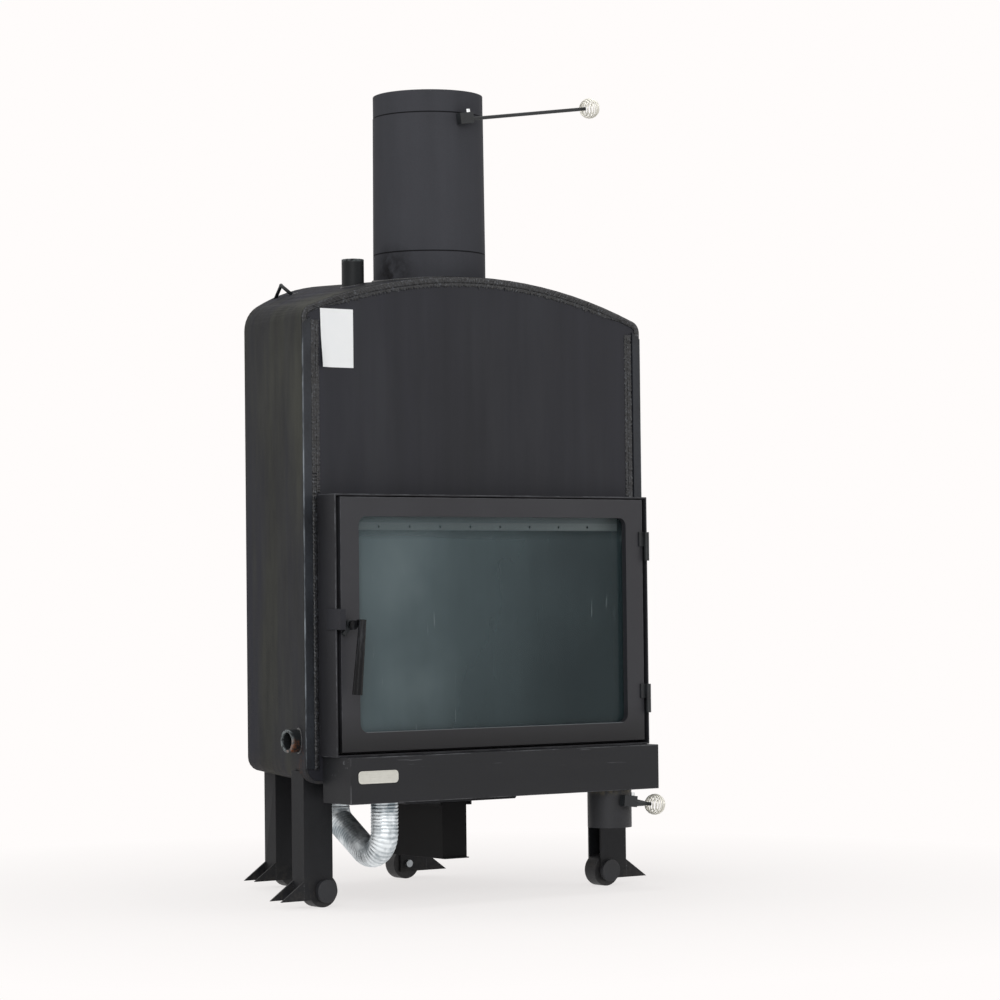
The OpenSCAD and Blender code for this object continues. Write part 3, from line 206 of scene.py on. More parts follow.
class Wire:
    """A node's output as a value. Sums, differences and products with it add Math nodes."""

    def __init__(self, finish, socket):
        self.finish, self.socket = finish, socket

    def _math(self, operation, first, second=0.0):
        return self.finish.add("ShaderNodeMath", {"operation": operation}, {0: first, 1: second})

    def __add__(self, other):
        return self._math("ADD", self, other)

    def __sub__(self, other):
        return self._math("SUBTRACT", self, other)

    def __rsub__(self, other):
        return self._math("SUBTRACT", other, self)

    def __mul__(self, other):
        return self._math("MULTIPLY", self, other)

    __radd__ = __add__
    __rmul__ = __mul__

    def unsigned(self):
        """The value without its sign."""
        return self._math("ABSOLUTE", self)

    def least(self, other):
        """The smaller of two values."""
        return self._math("MINIMUM", self, other)

    def most(self, other):
        """The larger of two values."""
        return self._math("MAXIMUM", self, other)

    def span(self, low, high):
        """0 at low and 1 at high, straight between them and held outside."""
        return self.finish.add("ShaderNodeMapRange", {"clamp": True}, {0: self, 1: low, 2: high})


class Finish:
    """A material with one Principled surface. It starts with one colour, and others are laid over it."""

    def __init__(self, name, colour, metal=0.0, gloss=0.5):
        self.material = bpy.data.materials.new(name)
        self.material.use_nodes = True
        self.tree = self.material.node_tree
        self.surface = self.tree.nodes["Principled BSDF"]
        self.surface.inputs["Metallic"].default_value = metal
        self.surface.inputs["Specular IOR Level"].default_value = gloss
        self.place = self.add("ShaderNodeTexCoord", {}, {}, "Object")
        self.colour = colour

    def feed(self, socket, value):
        """Links a wire to a socket, or sets the socket to a plain value."""
        if isinstance(value, Wire):
            self.tree.links.new(value.socket, socket)
        else:
            socket.default_value = value

    def add(self, kind, settings, inputs, output=0):
        """A new node with its settings, then its sockets. What comes back is one of its outputs."""
        made = self.tree.nodes.new(kind)
        for key, value in settings.items():
            setattr(made, key, value)
        for key, value in inputs.items():
            self.feed(made.inputs[key], value)
        return Wire(self, made.outputs[output])

    def axis(self, letter):
        """The place on the piece in metres along one axis: x across, y deep or z up."""
        return self.add("ShaderNodeSeparateXYZ", {}, {0: self.place}, "xyz".index(letter))

    def noise(self, scale, detail, rough, stretch=(1, 1, 1), shift=0.0):
        """Noise from 0 to 1, about scale cells to the metre. An axis with a small stretch has long cells."""
        where = self.add("ShaderNodeMapping", {}, {"Vector": self.place, "Scale": stretch,
                                                   "Location": (shift, shift, shift)})
        return self.add("ShaderNodeTexNoise", {}, {"Vector": where, "Scale": scale, "Detail": detail,
                                                   "Roughness": rough})

    def spot(self, centre, radius, core=0.0):
        """A round spot: 1 up to its core's radius, 0 from its whole radius on, straight between them."""
        away = self.add("ShaderNodeVectorMath", {"operation": "DISTANCE"}, {0: self.place, 1: centre},
                        "Value")
        return away.span(radius, core)

    def box_edges(self, low, high, width):
        """1 along the edges of a box and 0 a width away from them: of the distances to the box's three
        pairs of faces, the second smallest says how far the nearest edge is."""
        a, b, c = [(self.axis(letter) - lo).least(hi - self.axis(letter))
                   for letter, lo, hi in zip("xyz", low, high)]
        return a.least(b).most(a.most(b).least(c)).span(width, 0.0)

    def lay(self, colour, share):
        """Lays a colour over the one so far, by a share from 0 to 1, and gives the surface the result."""
        self.colour = self.add("ShaderNodeMix", {"data_type": "RGBA"},
                               {0: share, 6: self.colour, 7: colour}, 2)
        self.feed(self.surface.inputs["Base Color"], self.colour)

    def skin(self, rough, height=None, strength=None, depth=None):
        """Sets the surface's roughness and, where a height is given, its bump."""
        self.feed(self.surface.inputs["Roughness"], rough)
        if height is not None:
            bump = self.add("ShaderNodeBump", {}, {"Strength": strength, "Distance": depth,
                                                   "Height": height})
            self.feed(self.surface.inputs["Normal"], bump)


def tone(red, green, blue):
    """A screen colour from 0 to 255 as linear light with full cover."""
    c = np.array([red, green, blue]) / 255
    return (*np.where(c <= 0.04045, c / 12.92, ((c + 0.055) / 1.055) ** 2.4).tolist(), 1.0)


def wears(piece, finish):
    """Puts a finish on a piece or on a solid's own slots."""
    slots = piece.data.materials
    if len(slots):
        for i in range(len(slots)):
            slots[i] = finish.material
    else:
        slots.append(finish.material)
    return piece


hose_foil = Finish("crimped_aluminium", tone(112, 126, 134), metal=1.0)
crest_highlight = hose_foil.add("ShaderNodeAttribute", {"attribute_name": "rib"}, {}, "Fac")
smear = hose_foil.noise(28, 4, 0.6)
crinkle = hose_foil.noise(900, 3, 0.6)
# Painted light: the rib crests are laid lighter as highlights, and the valleys between them stay darker as
# shade
hose_foil.lay(tone(244, 250, 253), crest_highlight * 0.35 + smear.span(0.38, 0.6) * 0.75)
hose_foil.skin(0.3 + smear * 0.2 + crinkle * 0.08, crinkle + smear * 2, 0.2, 0.0003)
wears(air_hose, hose_foil)

# Floor and lamps
# A plain pale floor runs into a plain pale wall of the same tone. One large lamp stands at the front left,
# a weaker one at the right and one overhead, and the room itself is bright.
PALE = tone(255, 252, 251)
FLOOR_R, FLOOR_POINTS = 9.0, 72
NEAR_R, FAR_R = 0.5, 1.5
ROOM_LIGHT = 0.42
LAMPS = [("front_lamp", (-2.7, -3.4, 2.3), 2.4, 66), ("side_lamp", (3.6, -2.6, 1.9), 2.2, 13),
         ("top_lamp", (-0.6, 0.2, 4.2), 2.6, 48)]
LAMPS_AIM = (0, 0, 0.7)


def seen_rays(tree):
    """A socket that is 1 for rays from the camera, through glass and off shiny faces, and 0 for the light
    that falls on the boiler: the largest of the light path's marks."""
    ray = tree.nodes.new("ShaderNodeLightPath").outputs
    largest = ray["Is Camera Ray"]
    for kind in ("Is Transmission Ray", "Is Glossy Ray"):
        larger = tree.nodes.new("ShaderNodeMath")
        larger.operation = "MAXIMUM"
        tree.links.new(largest, larger.inputs[0])
        tree.links.new(ray[kind], larger.inputs[1])
        largest = larger.outputs[0]
    return largest


ring = 2 * np.pi * np.arange(FLOOR_POINTS) / FLOOR_POINTS
rim_points = FLOOR_R * np.stack([np.cos(ring), np.sin(ring), 0 * ring], -1)
floor_mesh = bpy.data.meshes.new("floor")
floor_mesh.from_pydata(rim_points.tolist(), [], [list(range(FLOOR_POINTS))])
floor = bpy.data.objects.new("floor", floor_mesh)
bpy.context.scene.collection.objects.link(floor)
matt = Finish("pale_floor", tone(247, 247, 246), gloss=0.2)
matt.lay(tone(251, 251, 250), matt.noise(9, 4, 0.6))
matt.skin(0.85)
glow = matt.tree.nodes.new("ShaderNodeEmission")
glow.inputs["Color"].default_value = PALE
blend = matt.tree.nodes.new("ShaderNodeMixShader")
# Seen directly, the floor glows as pale as the room, and only near the boiler 0.3 of it takes shade
glow_share = 1 - matt.spot((0, 0, 0), FAR_R, NEAR_R) * 0.3
matt.feed(blend.inputs[0], glow_share * Wire(matt, seen_rays(matt.tree)))
matt.tree.links.new(matt.surface.outputs[0], blend.inputs[1])
matt.tree.links.new(glow.outputs[0], blend.inputs[2])
matt.tree.links.new(blend.outputs[0], matt.tree.nodes["Material Output"].inputs[0])
wears(floor, matt)

world = bpy.data.worlds.new("bright_room")
world.use_nodes = True
bpy.context.scene.world = world
room = world.node_tree
room_strength = room.nodes.new("ShaderNodeMapRange")
room_strength.inputs["To Min"].default_value = ROOM_LIGHT
room.links.new(seen_rays(room), room_strength.inputs["Value"])
room.nodes["Background"].inputs["Color"].default_value = PALE
room.links.new(room_strength.outputs[0], room.nodes["Background"].inputs["Strength"])
for name, at, size, power in LAMPS:
    lamp = bpy.data.lights.new(name, "AREA")
    lamp.size, lamp.energy = size, power
    holder = bpy.data.objects.new(name, lamp)
    holder.location = at
    holder.rotation_euler = (Vector(LAMPS_AIM) - Vector(at)).to_track_quat("-Z", "Y").to_euler()
    bpy.context.scene.collection.objects.link(holder)
bpy.context.scene.view_settings.view_transform = "Standard"

# Water jacket and rear plate
# One bent sheet of 5 mm steel makes the sides and the arched top, and a plate closes the rear. Both are
# sprayed with dull heat proof black that has gone a little olive, with soot on the top and rust at the
# return socket.
DIRTY_TOP_Z, LOW_EDGE_Z = (1.02, 1.09), (0.262, 0.225)
RUST_AT_SOCKET, RUST_BELOW = (-0.366, -0.150, 0.266), (-0.364, -0.13, 0.235)


class SprayedBlack(Finish):
    """Sprayed black from a dark to a pale tone: half of the mix is slow clouds, a quarter is streaks the
    way the brush or the rain ran, and a quarter is fine grain. The same grain makes the bumps."""

    def __init__(self, name, dark, pale, cloud=2.4, grain=500, streak=(1, 1, 0.12), rough=0.5, gloss=0.28,
                 bumps=0.22):
        super().__init__(name, dark, gloss=gloss)
        clouds, fine = self.noise(cloud, 4, 0.6), self.noise(grain, 3, 0.65)
        runs = self.noise(26, 3, 0.55, stretch=streak, shift=0.3)
        self.lay(pale, (clouds * 0.5 + runs * 0.25 + fine * 0.25).span(0.36, 0.64))
        self.rough = rough + clouds * 0.14 + fine * 0.08
        self.skin(self.rough, fine + self.noise(90, 2, 0.5) * 1.5, bumps, 0.0005)


def rounded(name, width=0.0, sharp=30, segments=2):
    """A merged copy of a solid that stands for it: loose triangles joined, flat ones made whole, sharp
    edges rounded by the width, and round faces shaded smooth."""
    source = node[name]
    mesh = source.data.copy()
    shape = bmesh.new()
    shape.from_mesh(mesh)
    bmesh.ops.remove_doubles(shape, verts=shape.verts, dist=2e-6)
    if width:
        bmesh.ops.dissolve_limit(shape, angle_limit=math.radians(0.3), verts=shape.verts,
                                 edges=shape.edges)
    shape.to_mesh(mesh)
    shape.free()
    mesh.polygons.foreach_set("use_smooth", np.ones(len(mesh.polygons), bool))
    mesh.set_sharp_from_angle(angle=math.radians(sharp))
    piece = bpy.data.objects.new(name + "_steel", mesh)
    bpy.context.scene.collection.objects.link(piece)
    if width:
        edge = piece.modifiers.new("rounded_edges", "BEVEL")
        edge.width, edge.segments, edge.angle_limit = width, segments, math.radians(sharp)
        edge.limit_method, edge.harden_normals = "ANGLE", True
    body = source["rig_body"]
    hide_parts(name)
    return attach(piece, body)


jacket_black = SprayedBlack("jacket_black", tone(44, 45, 45), tone(74, 75, 70), cloud=3.6,
                            streak=(1, 1, 0.3), gloss=0.012)
jacket_up = jacket_black.axis("z")
bands = jacket_black.noise(7, 3, 0.5, stretch=(1, 1, 0.2), shift=5.1).span(0.38, 0.62)
jacket_black.lay(tone(50, 51, 60), bands * 0.8)
top_soot = jacket_up.span(*DIRTY_TOP_Z) * jacket_black.noise(55, 5, 0.7).span(0.45, 0.62)
jacket_black.lay(tone(24, 24, 23), top_soot * 0.7)
scuffs = jacket_black.noise(240, 4, 0.7, stretch=(1, 1, 0.25), shift=1.7).span(0.66, 0.74)
jacket_black.lay(tone(84, 83, 78), scuffs * 0.3)
low_edge = jacket_up.span(*LOW_EDGE_Z) * jacket_black.noise(60, 4, 0.7, shift=2.0).span(0.35, 0.7)
jacket_black.lay(tone(82, 76, 68), low_edge * 0.4)
rust_grain = jacket_black.noise(130, 4, 0.7, shift=0.9).span(0.5, 0.62)
rust = (jacket_black.spot(RUST_AT_SOCKET, 0.026, 0.004) * rust_grain).most(
    jacket_black.spot(RUST_BELOW, 0.03, 0.004) * rust_grain * 0.7)
jacket_black.lay(tone(120, 74, 44), rust * 0.6)
wears(rounded("body_jacket", sharp=28), jacket_black)

rear_black = SprayedBlack("rear_plate_black", tone(44, 44, 44), tone(68, 68, 66), cloud=4, gloss=0.03)
wears(rounded("rear_plate", 0.0006, sharp=28), rear_black)

# Front plate
# A flat plate set inside the jacket's front edge and welded all round. Its black is smoother and bluer
# than the jacket's, with a few faint vertical wipes.
front_black = SprayedBlack("front_black", tone(28, 29, 34), tone(40, 41, 48), cloud=1.6,
                           streak=(1.4, 1, 0.05), rough=0.46, bumps=0.16)
front_wipes = front_black.noise(5, 3, 0.6, stretch=(2.2, 1, 0.35), shift=0.4).span(0.5, 0.75)
front_black.lay(tone(58, 60, 64), front_wipes * 0.25)
wears(node["front_plate"], front_black)

# Front weld
# Hand laid beads join plate and jacket: two ridges over the arch in the corner between them, one down each
# side beside the strip, and a second one there above the casing. They are lumpy and painted over.
PLATE_Y = -0.17795
FRONT_HALF, SHOULDER_Z, CROWN_Z, CORNER_R = 0.370, 1.033, 1.104, 0.022
ARCH_FOOT_Z, ARCH_STEPS = 1.006, 900
ARCH_OUTER, ARCH_RIDGE = (0.0006, 0.0115), (0.0105, 0.0122, 0.0205)
LABEL_SIDE_X, TAPER = 0.325, 0.035
SIDE_TOP_Z, SIDE_LOW_Z, SIDE_OUTER_X, SIDE_INNER_X = 1.014, 0.24, 0.3515, 0.3404
RIDGE_LOW_Z, RIDGE_OUTER_X, RIDGE_INNER_X = 0.716, 0.3412, 0.3345
RIDGE_STEPS, SIDE_STEPS = 300, 560
FLAT_COIN, FLAT_POINTS = 0.0075, 13
arch_r = (FRONT_HALF ** 2 + (CROWN_Z - SHOULDER_Z) ** 2) / (2 * (CROWN_Z - SHOULDER_Z))
arch_z = CROWN_Z - arch_r


def arch_line(inset):
    """The front edge of the jacket, drawn inwards by inset: up the left side, round the shoulder fillet,
    over the arch and down the other side, cut into equal steps."""
    half, r, fillet_r = FRONT_HALF - inset, arch_r - inset, CORNER_R - inset
    hub_x = half - fillet_r
    hub_z = arch_z + math.sqrt((r - fillet_r) ** 2 - hub_x ** 2)
    shoulder = math.atan2(hub_z - arch_z, hub_x)
    upright = np.linspace([half, ARCH_FOOT_Z], [half, hub_z], 12, endpoint=False)
    g = np.linspace(0, shoulder, 16)[:, None]
    fillet = np.array([hub_x, hub_z]) + fillet_r * np.concatenate([np.cos(g), np.sin(g)], 1)
    g = np.linspace(shoulder, np.pi / 2, 90)[1:, None]
    half_arch = np.array([0, arch_z]) + r * np.concatenate([np.cos(g), np.sin(g)], 1)
    side_line = np.concatenate([upright, fillet, half_arch])
    line = np.concatenate([side_line, (side_line * [-1, 1])[::-1][1:]])[::-1]
    return evenly(np.stack([line[:, 0], np.full(len(line), PLATE_Y), line[:, 1]], -1), ARCH_STEPS)


def slow_wave(share, seed, low, high, terms=9):
    """A smooth random wave that closes on itself: sines of whole cycle counts from low to high, with
    seeded phases, scaled to about one."""
    rng = np.random.default_rng(seed)
    cycles, phase = rng.integers(low, high, terms), rng.uniform(0, 2 * np.pi, terms)
    return np.sin(2 * np.pi * np.outer(share, cycles) + phase).sum(1) / math.sqrt(terms / 2) / 2


def flat_bead(outer_line, inner_line, height, seed):
    """A wide bead on the plate between two lines. Across it, its height is 1 less the 3.2nd power of the
    distance from its middle, which slow waves lean to a side. Along it, the height ripples like
    overlapping coins and swells with slow waves and pits. Its back is flat on the plate."""
    gone, whole = walked(outer_line)
    share = gone / whole
    coins = np.abs(np.sin(np.pi * gone / FLAT_COIN + 2 * slow_wave(share, seed, 8, 60)))
    swell = 0.48 + 0.3 * coins + 0.3 * slow_wave(share, seed + 1, 20, 160)
    w = np.linspace(0, 1, FLAT_POINTS)
    lean = 0.12 * slow_wave(share, seed + 2, 15, 120)[:, None] * np.sin(np.pi * w)
    pits = 0.08 * np.sin(17 * w + 40 * slow_wave(share, seed + 3, 90, 260)[:, None])
    crown = 1 - np.abs(2 * w - 1 + lean) ** 3.2
    across = np.clip(w + lean, 0, 1)[..., None]
    line = outer_line[:, None] * (1 - across) + inner_line[:, None] * across
    line[..., 1] -= np.clip(height * crown * (swell[:, None] + pits), 0, height)
    return shell(line)


def side_bead(side, outer_x, inner_x, z, height, seed):
    """A wide bead up one side of the plate, between two edges at given distances from the middle."""
    edges = [np.stack(np.broadcast_arrays(side * x, PLATE_Y, z), -1) for x in (outer_x, inner_x)]
    return flat_bead(*edges, height, seed)


weld_black = SprayedBlack("weld_black", tone(20, 21, 23), tone(46, 48, 52), cloud=22, grain=700,
                          streak=(1, 1, 1), rough=0.3, gloss=0.5, bumps=0.5)
slag_and_highlights = weld_black.noise(260, 4, 0.75, shift=0.8)
weld_black.lay(tone(9, 9, 10), slag_and_highlights.span(0.54, 0.44) * 0.85)
# Painted highlights: light speckles over the beads' grain
weld_black.lay(tone(112, 118, 126), slag_and_highlights.span(0.59, 0.66) * 0.55)

ridge_outer, ridge_near, ridge_far = [arch_line(inset) for inset in ARCH_RIDGE]
# The ridge's inner edge strays between two lines, and stays at the nearer one beside the label
stray = 0.7 + 0.3 * slow_wave(np.linspace(0, 1, ARCH_STEPS), seed=17, low=30, high=160)
stray = (stray * np.clip((LABEL_SIDE_X - np.abs(ridge_near[:, 0])) / TAPER, 0, 1))[:, None]
ridge_inner = ridge_near * (1 - stray) + ridge_far * stray
beads = [flat_bead(*[arch_line(inset) for inset in ARCH_OUTER], height=0.0033, seed=3),
         flat_bead(ridge_outer, ridge_inner, height=0.0026, seed=8)]
for side in (-1, 1):
    z = np.linspace(RIDGE_LOW_Z, SIDE_TOP_Z, RIDGE_STEPS)
    wobble = 0.0012 * slow_wave(np.linspace(0, 1, RIDGE_STEPS), seed=70 + side, low=6, high=60)
    beads.append(side_bead(side, RIDGE_OUTER_X, RIDGE_INNER_X + wobble, z, height=0.0022, seed=81 + side))
    z = np.linspace(SIDE_LOW_Z, SIDE_TOP_Z, SIDE_STEPS)
    wobble = np.abs(0.0006 * slow_wave(np.linspace(0, 1, SIDE_STEPS), seed=30 + side, low=6, high=50))
    beads.append(side_bead(side, SIDE_OUTER_X - wobble, SIDE_INNER_X + wobble, z, height=0.0029,
                           seed=41 + side))
front_weld = wears(made_piece("front_weld", beads, ROOT), weld_black)
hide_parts("front_weld_bead")

# Corner strips
# Flat bars of steel stand up both front corners, outside the side welds, and end in a slant under the
# shoulder. Their outer edges stand at the corner and carry a painted highlight, broken in patches.
STRIP_HIGHLIGHT_X = (0.3672, 0.3695)
strip_black = SprayedBlack("strip_black", tone(24, 26, 30), tone(46, 50, 56), cloud=14, grain=260,
                           rough=0.32, gloss=0.3, bumps=0.5)
outer_edge = strip_black.axis("x").unsigned().span(*STRIP_HIGHLIGHT_X)
strip_highlight_breaks = strip_black.noise(45, 4, 0.7, stretch=(1, 1, 0.25)).span(0.4, 0.6)
# Painted highlight along the strips' outer edges, broken in patches
strip_black.lay(tone(150, 158, 166), outer_edge * strip_highlight_breaks * 0.8)
wears(rounded("corner_strips", 0.0008), strip_black)

# Flue
# A heavy collar welded into the top, the rolled pipe that stands on it and a ring round its mouth. Each
# seam is a thin dark line, and the paint is smooth, with a heat mark low down.
FLUE_SEAMS_Z, FLUE_RIM_Z = (1.155, 1.405), (1.4435, 1.4449)
HEAT_MARK = (-0.098, -0.055, 1.115)
FLUE_Y, COLLAR_R = -0.03295, 0.1025
BODY_DEPTH, REAR_HALF, REAR_SHOULDER_Z, REAR_CROWN_Z = 0.460, 0.203, 1.062, 1.127
ROUND_COIN, ROUND_SIDES = 0.004, 8
flue_black = SprayedBlack("flue_black", tone(64, 65, 69), tone(74, 75, 80), cloud=2, streak=(1, 1, 0.06),
                          rough=0.42, gloss=0.012, bumps=0.12)
flue_up = flue_black.axis("z")
heat = flue_black.spot(HEAT_MARK, 0.06, 0.008) * flue_black.noise(40, 3, 0.6).span(0.3, 0.6)
flue_black.lay(tone(22, 20, 19), heat * 0.8)
for seam_z in FLUE_SEAMS_Z:
    seam = (flue_up - seam_z).unsigned().span(0.0016, 0.0007)
    flue_black.lay(tone(12, 12, 13), seam * 0.85)
worn_rim = flue_up.span(*FLUE_RIM_Z) * flue_black.noise(70, 3, 0.6).span(0.35, 0.6)
flue_black.lay(tone(104, 106, 108), worn_rim * 0.6)
for name in ("flue_collar", "flue_pipe", "flue_top_ring"):
    wears(rounded(name, 0.0005), flue_black)


def half_width(y):
    """Half of the body's width at a depth: it goes evenly from the front's to the rear's."""
    return FRONT_HALF + (REAR_HALF - FRONT_HALF) * (y - PLATE_Y) / BODY_DEPTH


def top_height(x, y):
    """Height of the body's top at a place: a circle arch whose width and rise go evenly from the front
    outline to the rear one."""
    share = (y - PLATE_Y) / BODY_DEPTH
    low = SHOULDER_Z + (REAR_SHOULDER_Z - SHOULDER_Z) * share
    crown = CROWN_Z + (REAR_CROWN_Z - CROWN_Z) * share
    r = (half_width(y) ** 2 + (crown - low) ** 2) / (2 * (crown - low))
    return crown - r + np.sqrt(r * r - x ** 2)


def weld_bead(path, radius, up, closed, seed):
    """A round bead along a path that swells in overlapping coins, with slow unevenness."""
    gone, whole = walked(path, closed)
    share = gone / whole
    coins = max(3, round(whole / ROUND_COIN))
    swell = 0.85 + 0.22 * np.abs(np.sin(np.pi * coins * share)) + 0.12 * slow_wave(share, seed, 3, 14)
    return shell(tube_rings(path, radius * swell[:, None], ROUND_SIDES, up, closed), looped=closed)


def top_weld(x, y, r, count, bead_r, seed):
    """The bead where an upright pipe or bar meets the body's top: a circle in plan, lifted to the top."""
    g = 2 * np.pi * np.arange(count) / count
    ring_x, ring_y = x + r * np.cos(g), y + r * np.sin(g)
    path = np.stack([ring_x, ring_y, top_height(ring_x, ring_y)], -1)
    return weld_bead(path, bead_r, up=(0, 0, 1), closed=True, seed=seed)


collar_bead = top_weld(0, FLUE_Y, COLLAR_R, count=640, bead_r=0.0026, seed=5)
flue_weld = wears(made_piece("flue_collar_weld", [collar_bead], ROOT), weld_black)

# Flue damper
# A disc on a cross spindle. In front, a block clamps a rod lever with a bright screw, and the lever ends
# in a knob wound from pale plated wire, which stays cool because air passes through it.
FLUE_HUB, FLUE_REACH, FLUE_TILT = (0, -0.14395, 1.391), 0.290, math.radians(-8.5)
KNOB_D, KNOB_L, KNOB_WIRE, KNOB_TURNS = 0.0382, 0.036, 0.0026, 7
ROD_R, ROD_GAP = 0.00325, 0.0002
TURN_STEPS, WIRE_SIDES = 26, 10
mill_black = SprayedBlack("bare_mill_black", tone(26, 25, 25), tone(44, 42, 40), cloud=7, rough=0.6,
                          bumps=0.35)
soot = mill_black.noise(30, 5, 0.7, shift=0.5).span(0.45, 0.65)
mill_black.lay(tone(60, 52, 45), soot * 0.35)
wears(node["flue_damper_disc"], mill_black)
rod_black = SprayedBlack("lever_black", tone(17, 19, 21), tone(40, 44, 47), cloud=30, grain=900,
                         streak=(0.1, 1, 1), rough=0.34, gloss=0.4, bumps=0.2)
wears(rounded("flue_damper_spindle", 0.0005), rod_black)
wears(rounded("flue_damper_lever", 0.0004), rod_black)

plating = Finish("bright_plating", tone(196, 200, 202), metal=1.0)
haze = plating.noise(220, 3, 0.6)
plating.lay(tone(238, 240, 240), haze)
plating.skin(0.1 + haze * 0.16, haze, 0.12, 0.0002)
wears(rounded("flue_damper_screw", 0.0004), plating)
pearl = Finish("pale_knob_wire", tone(214, 212, 200), metal=0.6)
cloudy = pearl.noise(260, 3, 0.6)
pearl.lay(tone(246, 245, 238), cloudy)
pearl.skin(0.3 + cloudy * 0.15, cloudy, 0.12, 0.0002)


def wire_knob(name, replaced, hub, reach, tilt, body):
    """A knob wound from one wire: the wire's middle runs along an egg whose radius follows the root of a
    sine from end to end, on the lever's own axis, which leans by tilt about Y. The wire is thinner at
    both ends."""
    t = np.linspace(0, 1, KNOB_TURNS * TURN_STEPS + 1)
    small, large = ROD_R + KNOB_WIRE / 2 + ROD_GAP, KNOB_D / 2 - KNOB_WIRE / 2
    r = small + (large - small) * np.sqrt(np.clip(np.sin(np.pi * t), 0, None))
    g = 2 * np.pi * KNOB_TURNS * t
    along_x = reach - KNOB_L / 2 + KNOB_WIRE / 2 + (KNOB_L - KNOB_WIRE) * t
    line = np.stack([along_x, r * np.sin(g), -r * np.cos(g)], -1)
    c, s = math.cos(tilt), math.sin(tilt)
    lean = np.array([[c, 0, s], [0, 1, 0], [-s, 0, c]])
    line = line @ lean.T + np.array(hub)
    wire_r = KNOB_WIRE / 2 * np.minimum(1, 0.55 + 9 * np.minimum(t, 1 - t))
    rings = tube_rings(line, wire_r[:, None], WIRE_SIDES, lean @ np.array([1.0, 0, 0]))
    knob = made_piece(name, [shell(rings)], body, sharp=60)
    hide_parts(replaced)
    return wears(knob, pearl)


wire_knob("flue_wire_knob", "flue_damper_knob", FLUE_HUB, FLUE_REACH, FLUE_TILT, "flue_damper")

# Water sockets
# Two steel pipe sockets welded through the jacket: the flow on the top, the return low on the left
# side. The return's mouth has lost its paint and rusts.
FLOW_MOUTH_Z, RETURN_MOUTH_X = (1.134, 1.1398), (-0.3755, -0.3797)
SOCKET_RUST_AT = (-0.378, -0.15, 0.275)
FLOW_X, RETURN_Y, RETURN_Z = -0.167, -0.13495, 0.289
SOCKET_WELD_R, SOCKET_STEPS = 0.0205, 150
socket_black = SprayedBlack("socket_black", tone(20, 22, 24), tone(38, 41, 43), cloud=18, rough=0.4,
                            gloss=0.2)
bare = socket_black.noise(150, 4, 0.7)
flow_mouth = socket_black.axis("z").span(*FLOW_MOUTH_Z) * bare.span(0.42, 0.56)
return_mouth = socket_black.axis("x").span(*RETURN_MOUTH_X) * bare.span(0.4, 0.55)
socket_black.lay(tone(150, 158, 160), flow_mouth.most(return_mouth) * 0.55)
socket_rust = socket_black.spot(SOCKET_RUST_AT, 0.022, 0.004) * bare.span(0.45, 0.6)
socket_black.lay(tone(134, 80, 46), socket_rust * 0.8)
wears(rounded("flow_socket", 0.0007), socket_black)
wears(rounded("return_socket", 0.0007), socket_black)
g = 2 * np.pi * np.arange(SOCKET_STEPS) / SOCKET_STEPS
weld_y, weld_z = RETURN_Y + SOCKET_WELD_R * np.cos(g), RETURN_Z + SOCKET_WELD_R * np.sin(g)
return_ring = np.stack([-half_width(weld_y), weld_y, weld_z], -1)
socket_beads = [top_weld(FLOW_X, FLUE_Y, SOCKET_WELD_R, SOCKET_STEPS, bead_r=0.0022, seed=11),
                weld_bead(return_ring, radius=0.0024, up=(-1, 0, 0), closed=True, seed=12)]
socket_welds = wears(made_piece("socket_welds", socket_beads, ROOT), weld_black)

# Lifting loops
# Round bar bent to a low peak, one at each side near the rear of the top. Both feet of each are welded
# down with a small bead.
LOOP_X, LOOP_FEET = 0.150, (0.365, 0.438)
LOOP_WELD_R, LOOP_STEPS = 0.0042, 30
wears(rounded("lifting_loops", sharp=50), rod_black)
feet = [top_weld(side * LOOP_X, foot_y + PLATE_Y, LOOP_WELD_R, LOOP_STEPS, bead_r=0.0016,
                 seed=20 + int(foot_y * 100) + side) for side in (-1, 1) for foot_y in LOOP_FEET]
loop_welds = wears(made_piece("loop_welds", feet, ROOT), weld_black)

# Door casing
# A folded sheet box stands round the door. Its front edge is 3 mm of sheet. Its edges are laid lighter in
# patches, partly as worn paint and partly as a painted highlight, and its inside is in shadow.
casing_black = SprayedBlack("casing_black", tone(34, 34, 37), tone(45, 46, 50), cloud=5,
                            streak=(1, 1, 0.2), rough=0.42)
casing_edge = casing_black.box_edges(*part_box("door_casing"), 0.0016)
casing_wear_and_highlight = casing_black.noise(24, 4, 0.7).span(0.42, 0.62)
# Lighter patches along the box's edges: partly worn paint, partly a painted highlight
casing_black.lay(tone(122, 125, 130), casing_edge * casing_wear_and_highlight * 0.75)
wears(rounded("door_casing", 0.0007), casing_black)

# Door leaf
# One pressed steel frame, smooth and slightly satin, with a rounded window. Its edges carry a painted
# highlight, its bottom rail is painted darker as shade, and the window's lower lip carries a thin painted
# highlight.
SHADED_RAIL_Z = (0.335, 0.285)
LIP_LOW_Z, LIP_HIGH_Z, LIP_END_X = (0.3022, 0.3034), (0.3052, 0.3040), (0.282, 0.276)
door_black = SprayedBlack("door_black", tone(43, 43, 47), tone(53, 54, 58), cloud=2.2,
                          streak=(0.25, 1, 0.25), rough=0.36, gloss=0.34, bumps=0.1)
door_edge = door_black.box_edges(*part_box("door_frame"), 0.0014)
door_highlight_breaks = door_black.noise(30, 4, 0.7).span(0.4, 0.6)
# Painted highlight along the frame's edges, broken in patches
door_black.lay(tone(110, 112, 118), door_edge * door_highlight_breaks * 0.45)
door_up = door_black.axis("z")
# Painted shade: the bottom rail is laid darker
door_black.lay(tone(20, 20, 22), door_up.span(*SHADED_RAIL_Z) * 0.8)
